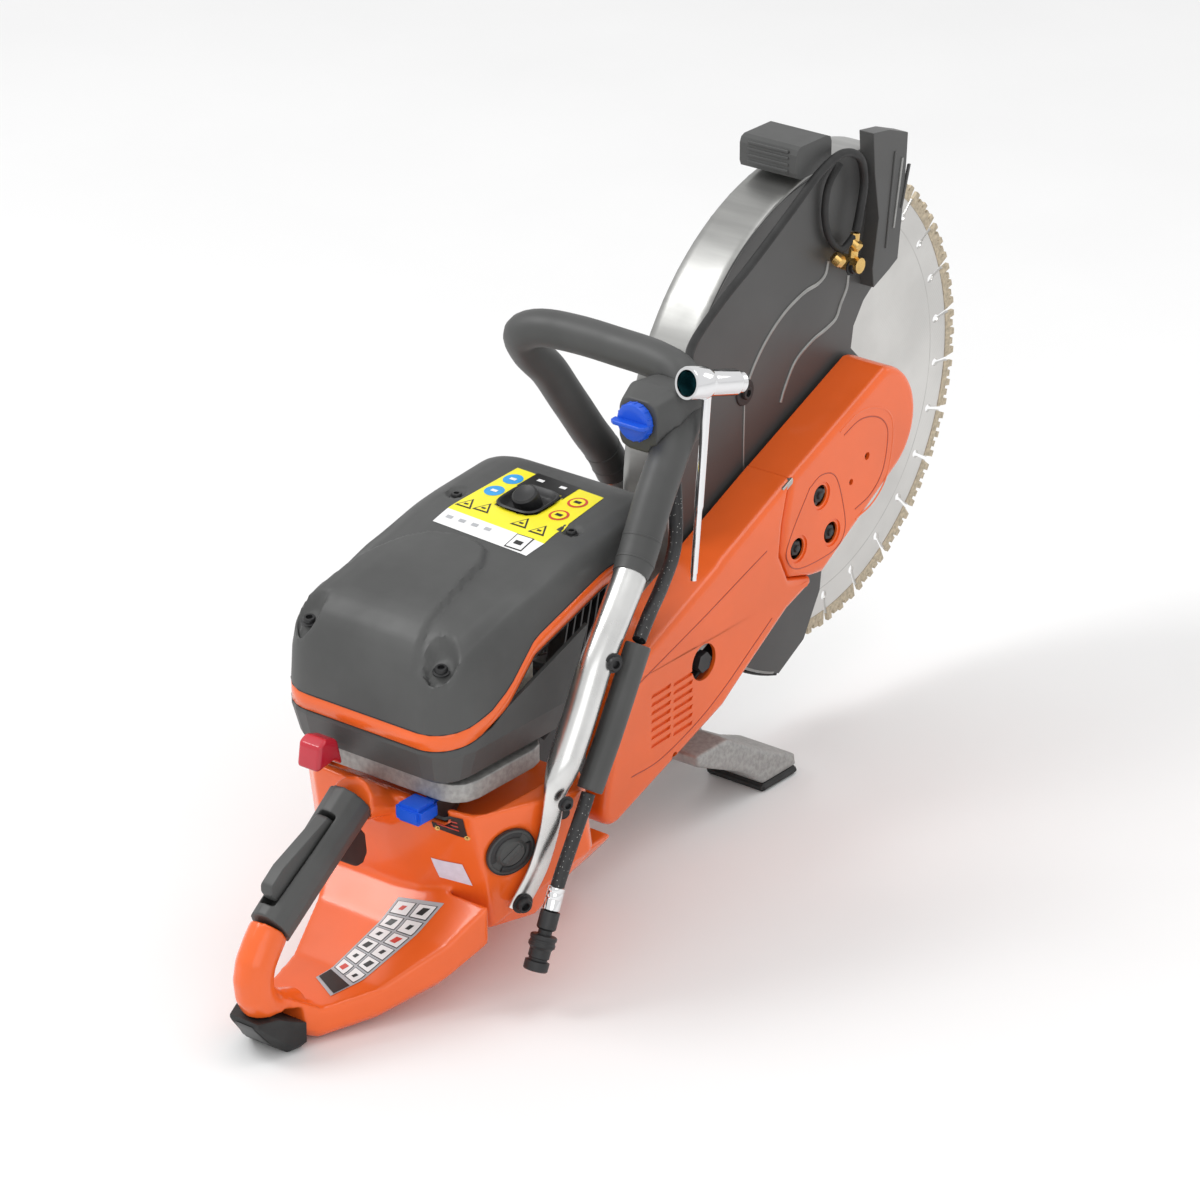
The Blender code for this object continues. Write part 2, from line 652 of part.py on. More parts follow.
def build_engine_fittings():
    head = 0.1475
    rod("spark_plug", along_cylinder(head, 0.004, 0.013), along_cylinder(head + 0.030, 0.004, 0.013),
        0.0075, "chrome", 10)
    turned("decompression_valve",
           [(0, head), (0.0065, head), (0.0065, 0.1850), (0.0048, 0.1860), (0.0048, 0.2060),
            (0.0100, 0.2070), (0.0100, 0.2245), (0.0085, 0.2260), (0, 0.2260)],
           DECOMPRESSION_FOOT, "black", UP, 14)
    block("muffler", (-0.2700, -0.0180, 0.1930), (-0.2240, 0.0440, 0.2500), "steel", 0.006)
    carburettor = block("carburettor", (-0.4480, -0.0240, 0.1950), (-0.4063, 0.0240, 0.2370),
                        "aluminium", 0.003)
    cut(carburettor, rod("carburettor_throat", (-0.48, 0, 0.216), (-0.40, 0, 0.216), 0.0120,
                         "aluminium", 14))
    block("air_filter", (-0.5500, -0.0870, 0.2030), (-0.4560, 0.0420, 0.2560), "filter", 0.004)


def build_starter():
    crank = (CRANK.x, 0.0, CRANK.z)
    cover = turned("starter_cover",
                   [(0, 0.1080), (0.0400, 0.1080), (0.0720, 0.0980), (0.0740, 0.0900),
                    (0.0740, 0.0470), (0.0715, 0.0470), (0.0715, 0.0880), (0.0390, 0.1050),
                    (0, 0.1050)], crank, "orange", steps=28)
    for k in range(10):
        turn = math.tau * k / 10
        slot = block(f"starter_slot_{k}", (0.045, 0.08, -0.0035), (0.064, 0.12, 0.0035), "orange")
        slot.rotation_euler = (0, -turn, 0)
        slot.location = CRANK
        cut(cover, slot)
    turned("starter_pulley",
           [(0, 0.0780), (0.0300, 0.0780), (0.0300, 0.0800), (0.0230, 0.0810), (0.0230, 0.0850),
            (0.0300, 0.0860), (0.0300, 0.0880), (0, 0.0880)], crank, "black", steps=20)
    handle = HANDLE_PULL
    grip = turned("starter_handle", [(0, 0.0), (0.0060, 0.0), (0.0080, 0.0060), (0.0080, 0.0160),
                                     (0, 0.0160)], handle, "dark_grey", (0, 0.35, 0.94), 10)
    fuse(grip, rod("starter_bar", handle + Vector((-0.026, 0.006, 0.016)),
                   handle + Vector((0.026, 0.006, 0.016)), 0.0080, "dark_grey", 10))


HANDLE_PULL = Vector((-0.3000, 0.0850, 0.2040))


# -------------------------------------------------- filter cover and air box
FLOOR_LINE = ((-0.577, 0.2210), (-0.530, 0.2290), (-0.509, 0.2400), (-0.480, 0.2680),
              (-0.400, 0.2930), (-0.312, 0.3010))
ROOF_LINE = ((-0.577, 0.2640), (-0.567, 0.2800), (-0.545, 0.2930), (-0.500, 0.3040),
             (-0.420, 0.3180), (-0.340, 0.3250), (-0.312, 0.3200))
BAND_HEIGHT = 0.0135
AIR_BOX_FLOOR = 0.1760


def plan_outline(inset, steps=4):
    low = (COVER_X[0] + inset, BODY_Y - COVER_HALF_WIDTH + inset)
    high = (COVER_X[1] - inset, BODY_Y + COVER_HALF_WIDTH - inset)
    return rounded_box_outline(low, high, max(0.030 - inset, 0.006), steps)


def dome_rings(levels, skin):
    """Rings of the cover from its lower edge up. A level is (inset, share of the height)."""
    rings = []
    for inset, share in levels:
        points = []
        for x, y in plan_outline(inset + skin):
            floor = blend_table(x, FLOOR_LINE)
            roof = blend_table(x, ROOF_LINE) - skin
            points.append((x, y, floor + (roof - floor) * share))
        rings.append(points)
    return rings


def build_filter_cover():
    levels = [(0.0, 0.0), (0.0015, 0.45), (0.0070, 0.80), (0.0180, 0.95), (0.0400, 1.0)]
    outer = dome_rings(levels, 0.0)
    inner = dome_rings(levels, 0.0030)
    cover = lofted("filter_cover", inner[::-1] + outer, "dark_grey")
    cut(cover, rod("button_hole", DECOMPRESSION_FOOT + UP * 0.1900,
                   DECOMPRESSION_FOOT + UP * 0.2600, 0.0112, "dark_grey", 18))
    band_rings(outer[0], "trim_band", GAP, BAND_HEIGHT, "orange")
    walls = [
        (0.0, lambda x: blend_table(x, FLOOR_LINE) - BAND_HEIGHT - GAP),
        (0.0, lambda x: max(AIR_BOX_FLOOR + 0.028, 0.0)),
        (0.0060, lambda x: AIR_BOX_FLOOR + 0.0060),
        (0.0150, lambda x: AIR_BOX_FLOOR),
    ]
    outside = [[(x, y, height(x)) for x, y in plan_outline(inset)] for inset, height in walls]
    inside = [[(x, y, height(x) + (0.0 if k == 0 else 0.003))
               for x, y in plan_outline(inset + 0.003)] for k, (inset, height) in enumerate(walls)]
    box = lofted("air_box", inside[::-1] + outside, "dark_grey")
    nose = [(-0.3900, 0.3300), (-0.4540, 0.1700), (-0.4540, 0.1200), (-0.2000, 0.1200),
            (-0.2000, 0.3300)]
    cut(box, prism("air_box_nose", nose, (-0.2, 0.2), "dark_grey"))
    prism("intake_plate", rounded_box_outline((-0.5590, -0.1000), (-0.4560, 0.0520), 0.020),
          (0.1610, AIR_BOX_FLOOR - GAP), "cast", axis="Z")


def band_rings(top_ring, name, gap, height, finish):
    """A ribbon wall that follows the cover's lower edge."""
    outer_top = [(x, y, z - gap) for x, y, z in top_ring]
    outer_low = [(x, y, z - height) for x, y, z in top_ring]
    inner = plan_outline(0.0030)
    inner_top = [(x, y, blend_table(x, FLOOR_LINE) - gap) for x, y in inner]
    inner_low = [(x, y, blend_table(x, FLOOR_LINE) - height) for x, y in inner]
    count = len(outer_top)
    verts = outer_low + outer_top + inner_top + inner_low
    faces = []
    for row in range(4):
        for i in range(count):
            j = (i + 1) % count
            a, b = row * count, ((row + 1) % 4) * count
            faces.append((a + i, a + j, b + j, b + i))
    return add(name, verts, faces, finish)


# ---------------------------------------------------- rear housing and handle
def tank_section(x, right, left, bottom, top, chamfer):
    return [
        (x, right, bottom + chamfer), (x, right + chamfer, bottom), (x, left - chamfer, bottom),
        (x, left, bottom + chamfer), (x, left, top), (x, right, top),
    ]


PANEL_OUT = Vector((-0.368, -0.918, -0.151)).normalized()   # out of the tank's right panel
CAP_CENTRE = Vector((-0.5225, -0.1152, 0.1165))
TANK_UPPER = [
    (-0.5540, -0.1080, 0.1540), (-0.4740, -0.1401, 0.1540), (-0.4620, -0.1360, 0.1540),
    (-0.4300, -0.1000, 0.1540), (-0.3720, -0.0900, 0.1540), (-0.3720, 0.0600, 0.1540),
    (-0.5450, 0.0600, 0.1540), (-0.5600, 0.0400, 0.1540), (-0.5620, -0.0300, 0.1540),
]
TANK_LOWER = [
    (-0.5260, -0.1020, 0.0520), (-0.4570, -0.1376, 0.0980), (-0.4480, -0.1320, 0.0960),
    (-0.4230, -0.1000, 0.0750), (-0.3720, -0.0900, 0.0600), (-0.3720, 0.0550, 0.0500),
    (-0.5350, 0.0550, 0.0520), (-0.5480, 0.0360, 0.0520), (-0.5480, -0.0300, 0.0520),
]
TANK_FLOOR = [
    (-0.5150, -0.0800, 0.0360), (-0.4700, -0.0950, 0.0360), (-0.4600, -0.0900, 0.0360),
    (-0.4300, -0.0800, 0.0360), (-0.3720, -0.0700, 0.0360), (-0.3720, 0.0350, 0.0360),
    (-0.5300, 0.0350, 0.0360), (-0.5400, 0.0250, 0.0360), (-0.5400, -0.0250, 0.0360),
]


def grip_path(gap):
    """The rear grip's middle line, shortened by gap at each end."""
    run = (GRIP_END - GRIP_TOP).normalized()
    return [GRIP_TOP + run * gap, GRIP_TOP.lerp(GRIP_END, 0.5), GRIP_END - run * gap]


def grip_sizes(more):
    return [(wide + more, high + more) for wide, high in
            ((0.0175, 0.0190), (0.0165, 0.0180), (0.0160, 0.0175))]


def build_rear_housing():
    tank = lofted("rear_housing", [TANK_FLOOR, TANK_LOWER, TANK_UPPER], "orange")
    tray = lofted("handle_tray", [
        tank_section(-0.5450, -0.1150, 0.0400, 0.0330, 0.0820, 0.020),
        tank_section(-0.5750, -0.1000, 0.0250, 0.0200, 0.0560, 0.012),
        tank_section(-0.6200, -0.0760, 0.0100, 0.0060, 0.0330, 0.008),
        tank_section(-0.6620, -0.0560, 0.0000, 0.0025, 0.0280, 0.006),
        tank_section(-0.6850, -0.0450, -0.0040, 0.0120, 0.0420, 0.008),
    ], "orange")
    neck = swept("handle_neck",
                 [Vector((-0.540, -0.018, 0.130)), Vector((-0.563, -0.019, 0.146)), GRIP_TOP],
                 [(0.030, 0.016), (0.024, 0.012), (0.0185, 0.0185)], "orange", 12)
    tail = swept("handle_tail",
                 smooth_path([GRIP_END, (-0.7020, -0.0275, 0.0720), (-0.7040, -0.0280, 0.0500),
                              (-0.6900, -0.0280, 0.0320), (-0.6650, -0.0280, 0.0220)], 0.012),
                 0.0150, "orange", 12)
    fuse(tank, tray, neck, tail)
    cut(tank,
        turned("cap_well", [(0, -0.0220), (0.0172, -0.0220), (0.0172, -0.0018), (0.0204, -0.0018),
                            (0.0204, 0.0100), (0, 0.0100)], CAP_CENTRE, "orange", PANEL_OUT, 20),
        block("bumper_seat", (-0.7300, -0.0600, -0.0100), (-0.6760, 0.0100, 0.0330), "orange"),
        block("choke_slot", (-0.6000, -0.0830, 0.1420), (-0.5200, -0.0490, 0.1800), "orange"),
        swept("grip_seat", grip_path(-GAP), grip_sizes(0.0005), "orange", 14))
    cavity = prism("tank_top_pan", rounded_box_outline((-0.5500, -0.1100), (-0.4000, 0.0550), 0.015),
                   (0.1380, 0.2000), "orange", axis="Z")
    engine_bay = block("engine_bay", (-0.4250, -0.2, 0.0620), (-0.20, 0.2, 0.30), "orange")
    cut(tank, cavity, engine_bay)
    lofted("rear_bumper", [
        tank_section(-0.6763, -0.0520, -0.0010, 0.0, 0.0220, 0.006),
        tank_section(-0.6890, -0.0500, -0.0030, 0.0, 0.0275, 0.006),
        tank_section(-0.7000, -0.0470, -0.0060, 0.0080, 0.0325, 0.008),
        tank_section(-0.7150, -0.0410, -0.0130, 0.0280, 0.0326, 0.0020),
    ], "rubber")
    turned("fuel_cap", [(0, -0.0200), (0.0155, -0.0200), (0.0155, -0.0014), (0.0196, -0.0014),
                        (0.0196, 0.0006), (0.0190, 0.0012), (0.0110, 0.0012), (0.0095, 0.0034),
                        (0, 0.0034)], CAP_CENTRE, "dark_grey", PANEL_OUT, 20)


def build_rear_grip():
    grip = swept("rear_grip", grip_path(GAP), grip_sizes(0.0), "dark_grey", 14)
    length = (GRIP_END - GRIP_TOP).length
    slot_low = [grip_point(a, b).xz for a, b in ((0.007, -0.030), (0.048, -0.030),
                                                (0.048, -0.0030), (0.007, -0.0030))]
    slot_top = [grip_point(a, b).xz for a, b in ((0.022, 0.030), (0.022, 0.0010),
                                                (length - 0.010, 0.0010), (length - 0.010, 0.030))]
    middle = (GRIP_TOP.y + GRIP_END.y) / 2
    cut(grip,
        prism("trigger_slot", [tuple(p) for p in slot_low], (middle - 0.0080, middle + 0.0080), "black"),
        prism("lockout_slot", [tuple(p) for p in slot_top], (middle - 0.0070, middle + 0.0070), "black"))
    trigger = [(0.011, -0.0070), (0.010, -0.0260), (0.017, -0.0400), (0.024, -0.0430),
               (0.031, -0.0390), (0.039, -0.0200), (0.040, -0.0130)]
    pivot = grip_point(0.014, -0.0110)
    prism("throttle_trigger", [tuple(grip_point(a, b).xz) for a, b in trigger],
          (middle - 0.0065, middle + 0.0065), "black", pivot=pivot)
    lever = [(0.0250, 0.0120), (0.0270, 0.0200), (0.0800, 0.0290), (0.0960, 0.0280),
             (0.1000, 0.0220), (0.1000, 0.0140)]
    pivot = grip_point(0.0290, 0.0150)
    prism("throttle_lockout", [tuple(grip_point(a, b).xz) for a, b in lever],
          (middle - 0.0055, middle + 0.0055), "black", pivot=pivot)


def build_rear_controls():
    switch = [(-0.6060, 0.1780), (-0.6030, 0.1970), (-0.5950, 0.2010), (-0.5830, 0.1970),
              (-0.5770, 0.1740), (-0.5870, 0.1810)]
    prism("stop_switch", switch, (-0.0060, 0.0150), "red", pivot=(-0.5800, 0.0045, 0.1770))
    choke = rod("choke_lever", (-0.5560, -0.0660, 0.1550), (-0.5240, -0.0660, 0.1550), 0.0035,
                "blue", 8)
    fuse(choke, block("choke_knob", (-0.5800, -0.0780, 0.1460), (-0.5560, -0.0540, 0.1600),
                      "blue", 0.003))


# -------------------------------------------------------------- front handle
HANDLE_PATH = [
    (-0.5158, -0.1157, 0.0674), (-0.5044, -0.1249, 0.0959), (-0.4998, -0.1322, 0.1262),
    (-0.4990, -0.1362, 0.1500), (-0.4965, -0.1375, 0.1660), (-0.4720, -0.1375, 0.2073),
    (-0.4460, -0.1350, 0.2475), (-0.4200, -0.1315, 0.2735), (-0.3880, -0.1240, 0.3000),
    (-0.3560, -0.1160, 0.3360), (-0.3180, -0.1060, 0.3680), (-0.2920, -0.0980, 0.3850),
    (-0.2820, -0.0840, 0.4020), (-0.2800, -0.0600, 0.4080), (-0.2790, -0.0250, 0.4090),
    (-0.2820, 0.0120, 0.4110), (-0.2860, 0.0430, 0.4100), (-0.2860, 0.0620, 0.4010),
    (-0.2700, 0.0680, 0.3800), (-0.2480, 0.0680, 0.3580), (-0.2300, 0.0670, 0.3330),
    (-0.2000, 0.0660, 0.2920), (-0.1720, 0.0660, 0.2520), (-0.1680, 0.0650, 0.2000),
    (-0.2050, 0.0600, 0.1150),
]


HANDLE_STEP = 0.030


def build_front_handle():
    path = smooth_path(HANDLE_PATH, HANDLE_STEP)
    sizes = []
    for point in path:
        flat = max(0.0, min(1.0, (0.185 - point.z) / 0.035)) if point.x < -0.45 else 0.0
        sizes.append((HANDLE_R * (1 - 0.74 * flat), HANDLE_R * (1 - 0.32 * flat)))
    swept("front_handle", path, sizes, "aluminium", 12, first_side=-PANEL_OUT)
    covered = [p for p in path if not (p.y < -0.10 and p.z < 0.295) and not (p.y > 0.04 and p.z < 0.24)]
    swept("front_handle_sleeve", covered, SLEEVE_R, "dark_grey", 12, inner=HANDLE_R + 3 * GAP)


def build_valve():
    valve = lofted("valve_housing", [
        [(x, y, z) for y, z in rounded_box_outline(low, high, 0.009, 2)]
        for x, low, high in (
            (-0.3380, (-0.1060, 0.3620), (-0.0700, 0.4020)),
            (-0.3200, (-0.1130, 0.3540), (-0.0650, 0.4080)),
            (-0.2900, (-0.1130, 0.3600), (-0.0680, 0.4060)),
        )
    ], "dark_grey")
    path = smooth_path(HANDLE_PATH, HANDLE_STEP)
    cut(valve, swept("valve_clearance", path, SLEEVE_R + GAP, "dark_grey", 12))
    knob = rod("valve_knob", (-0.3470, -0.0880, 0.3860), (-0.3383, -0.0880, 0.3860), 0.0145,
               "blue", 18)
    wing = block("valve_wing", (-0.3550, -0.1040, 0.3840), (-0.3460, -0.0720, 0.3880), "blue")
    fuse(knob, wing)


HOSE_UPPER = [
    (-0.3120, -0.1000, 0.3480), (-0.3160, -0.1060, 0.3200), (-0.3300, -0.1160, 0.2900),
    (-0.3600, -0.1280, 0.2740), (-0.3900, -0.1390, 0.2640), (-0.4100, -0.1450, 0.2520),
]
GUIDE_PATH = [
    (-0.4120, -0.1460, 0.2500), (-0.4280, -0.1470, 0.2250), (-0.4500, -0.1480, 0.1900),
    (-0.4720, -0.1480, 0.1560),
]
HOSE_TAIL = [
    (-0.4730, -0.1480, 0.1545), (-0.4800, -0.1480, 0.1420), (-0.4880, -0.1480, 0.1290),
    (-0.4960, -0.1480, 0.1160), (-0.5040, -0.1480, 0.1030), (-0.5110, -0.1480, 0.0900),
    (-0.5170, -0.1480, 0.0770),
]


def build_water():
    """Hose from the valve, the guide that holds it on the right leg, and its free tail."""
    swept("water_hose", smooth_path(HOSE_UPPER, 0.012), HOSE_R, "rubber", 8)
    guide = swept("hose_guide", smooth_path(GUIDE_PATH, 0.03), 0.0100, "dark_grey", 12)
    leg = smooth_path(HANDLE_PATH, HANDLE_STEP)
    cut(guide, swept("leg_clearance", leg, HANDLE_R + 2 * GAP, "dark_grey", 12,
                     first_side=-PANEL_OUT))
    curve = bpy.data.curves.new("hose_tail", "CURVE")
    curve.dimensions = "3D"
    curve.bevel_depth = HOSE_R
    curve.bevel_resolution = 2
    curve.use_fill_caps = True
    path = smooth_path(HOSE_TAIL, 0.010)
    spline = curve.splines.new("POLY")
    spline.points.add(len(path) - 1)
    for point, place in zip(spline.points, path):
        point.co = (*place, 1.0)
    curve.materials.append(paint("rubber"))
    tail = bpy.data.objects.new("hose_tail", curve)
    bpy.context.scene.collection.objects.link(tail)
    tail.parent = bpy.data.objects["saw_origin"]
    end, before = path[-1], path[-2]
    down = (end - before).normalized()
    turned("hose_coupling",
           [(0, GAP), (0.0073, GAP), (0.0073, 0.0140), (0.0052, 0.0150), (0.0052, 0.0180),
            (0.0100, 0.0190), (0.0100, 0.0270), (0.0082, 0.0290), (0.0082, 0.0360),
            (0.0092, 0.0380), (0.0092, 0.0450), (0, 0.0450)], end, "dark_grey", down, 14)


# -------------------------------------------------------------------- stands
def build_feet():
    bracket = prism("foot_bracket", [(-0.2350, 0.0650), (-0.2350, 0.0560), (-0.1750, 0.0280),
                                     (-0.1480, 0.0075), (-0.1040, 0.0075), (-0.1060, 0.0180),
                                     (-0.1350, 0.0300), (-0.1700, 0.0500), (-0.1950, 0.0650)],
                    (-0.0680, -0.0120), "cast")
    fuse(bracket, prism("foot_bracket_left", [(-0.2350, 0.0650), (-0.2350, 0.0560),
                                              (-0.1750, 0.0280), (-0.1480, 0.0075),
                                              (-0.1040, 0.0075), (-0.1060, 0.0180),
                                              (-0.1350, 0.0300), (-0.1700, 0.0500),
                                              (-0.1950, 0.0650)],
                        (0.0250, 0.0550), "cast"),
         block("foot_bridge", (-0.2350, -0.0400, 0.0550), (-0.2050, 0.0400, 0.0650), "cast"))
    block("foot_pad_right", (-0.1500, -0.0690, 0.0), (-0.1030, -0.0110, 0.0072), "rubber", 0.002)
    block("foot_pad_left", (-0.1500, 0.0240, 0.0), (-0.1030, 0.0560, 0.0072), "rubber", 0.002)


def build_wrench():
    axis = Vector((0.957, -0.159, -0.244)).normalized()
    opening = Vector((-0.3195, -0.1180, 0.4165))
    middle = opening + axis * 0.022
    tip = Vector((-0.3200, -0.1260, 0.2620))
    wrench = rod("wrench", tip, middle, 0.0034, "chrome", 10)
    socket = turned("wrench_socket", [(0, 0), (0.0125, 0), (0.0125, 0.018), (0.0100, 0.022),
                                      (0.0100, 0.050), (0.0080, 0.052), (0.0080, 0.057),
                                      (0, 0.057)], opening, "chrome", axis, 12)
    fuse(wrench, socket)
    cut(wrench, rod("wrench_hollow", opening - axis * 0.01, opening + axis * 0.014, 0.0098,
                    "chrome", 6))


def main():
    clear_scene()
    build_blade()
    build_guard()
    build_guard_water()
    build_belt()
    build_covers()
    build_crank()
    build_cylinder()
    build_crankcase()
    build_engine_fittings()
    build_starter()
    build_filter_cover()
    build_rear_housing()
    build_rear_grip()
    build_rear_controls()
    build_front_handle()
    build_valve()
    build_water()
    build_feet()
    build_wrench()


main()
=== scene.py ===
"""Looks of the concrete cut-off saw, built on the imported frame."""
import math

import bmesh
import bpy
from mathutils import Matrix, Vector
from mathutils.bvhtree import BVHTree
from mathutils.geometry import tessellate_polygon


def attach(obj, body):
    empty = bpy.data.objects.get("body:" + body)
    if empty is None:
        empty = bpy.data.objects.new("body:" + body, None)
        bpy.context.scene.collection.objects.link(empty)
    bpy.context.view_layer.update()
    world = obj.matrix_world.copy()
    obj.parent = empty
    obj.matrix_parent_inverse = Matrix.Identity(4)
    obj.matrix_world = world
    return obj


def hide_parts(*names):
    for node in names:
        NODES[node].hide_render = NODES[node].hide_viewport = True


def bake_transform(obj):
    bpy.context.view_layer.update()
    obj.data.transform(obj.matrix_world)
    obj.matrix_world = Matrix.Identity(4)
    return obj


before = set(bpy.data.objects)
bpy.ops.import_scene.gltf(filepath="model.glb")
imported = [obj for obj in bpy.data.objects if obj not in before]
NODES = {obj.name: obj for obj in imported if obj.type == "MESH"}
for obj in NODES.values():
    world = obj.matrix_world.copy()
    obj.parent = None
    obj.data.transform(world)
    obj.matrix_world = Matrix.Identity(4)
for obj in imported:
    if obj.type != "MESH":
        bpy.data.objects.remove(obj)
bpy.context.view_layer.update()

ORIGIN = Vector((0.26, 0.025, 0.0))      # the arbor's foot point in the frame
ARBOR = Vector((0.0, 0.0, 0.264))
CRANK = Vector((-0.292, 0.0, 0.126))
TILT = math.radians(25.0)
UP = Vector((-math.sin(TILT), 0.0, math.cos(TILT)))
ACROSS = Vector((math.cos(TILT), 0.0, math.sin(TILT)))
RIGHT = Vector((0, -1, 0))
PANEL_OUT = Vector((-0.368, -0.918, -0.151)).normalized()


# ----------------------------------------------------------------- materials
class Shader:
    """A Principled material with helpers for procedural detail in object space."""

    def __init__(self, name, colour, roughness, metallic=0.0, extra=()):
        self.material = bpy.data.materials.new(name)
        self.material.use_nodes = True
        self.nodes = self.material.node_tree.nodes
        self.links = self.material.node_tree.links
        self.main = self.nodes["Principled BSDF"]
        self.main.inputs["Base Color"].default_value = (*colour, 1.0)
        self.main.inputs["Roughness"].default_value = roughness
        self.main.inputs["Metallic"].default_value = metallic
        for key in extra:
            self.main.inputs[key].default_value = extra[key]
        self.where = self.nodes.new("ShaderNodeTexCoord").outputs["Object"]
        self.last_bump = None
        self.colour = colour

    def noise(self, scale, detail=3.0, stretch=None):
        source = self.where
        if stretch:
            mapping = self.nodes.new("ShaderNodeMapping")
            mapping.inputs["Scale"].default_value = stretch
            self.links.new(self.where, mapping.inputs["Vector"])
            source = mapping.outputs["Vector"]
        node = self.nodes.new("ShaderNodeTexNoise")
        node.inputs["Scale"].default_value = scale
        node.inputs["Detail"].default_value = detail
        self.links.new(source, node.inputs["Vector"])
        return node.outputs["Fac"]

    def ramp(self, value, low, high, start=0.35, end=0.65):
        node = self.nodes.new("ShaderNodeValToRGB")
        node.color_ramp.elements[0].position = start
        node.color_ramp.elements[1].position = end
        node.color_ramp.elements[0].color = (*low, 1.0)
        node.color_ramp.elements[1].color = (*high, 1.0)
        self.links.new(value, node.inputs["Fac"])
        return node.outputs["Color"]

    def vary(self, scale, amount, stretch=None):
        low = tuple(c * (1 - amount) for c in self.colour)
        high = tuple(min(1.0, c * (1 + amount)) for c in self.colour)
        self.links.new(self.ramp(self.noise(scale, 4.0, stretch), low, high),
            self.main.inputs["Base Color"])
        return self

    def rough(self, scale, low, high, stretch=None):
        node = self.nodes.new("ShaderNodeMapRange")
        node.inputs["To Min"].default_value = low
        node.inputs["To Max"].default_value = high
        self.links.new(self.noise(scale, 3.0, stretch), node.inputs["Value"])
        self.links.new(node.outputs["Result"], self.main.inputs["Roughness"])
        return self

    def bump(self, scale, strength, distance=0.0004, value=None):
        node = self.nodes.new("ShaderNodeBump")
        node.inputs["Strength"].default_value = strength
        node.inputs["Distance"].default_value = distance
        height = value if value is not None else self.noise(scale, 2.0)
        self.links.new(height, node.inputs["Height"])
        if self.last_bump:
            self.links.new(self.last_bump, node.inputs["Normal"])
        self.last_bump = node.outputs["Normal"]
        self.links.new(self.last_bump, self.main.inputs["Normal"])
        return self

    def rings(self, scale, distortion):
        node = self.nodes.new("ShaderNodeTexWave")
        node.wave_type = "RINGS"
        node.rings_direction = "Y"
        node.inputs["Scale"].default_value = scale
        node.inputs["Distortion"].default_value = distortion
        self.links.new(self.where, node.inputs["Vector"])
        return node.outputs["Fac"]


MATERIALS = {}


def material(key):
    return MATERIALS[key].material


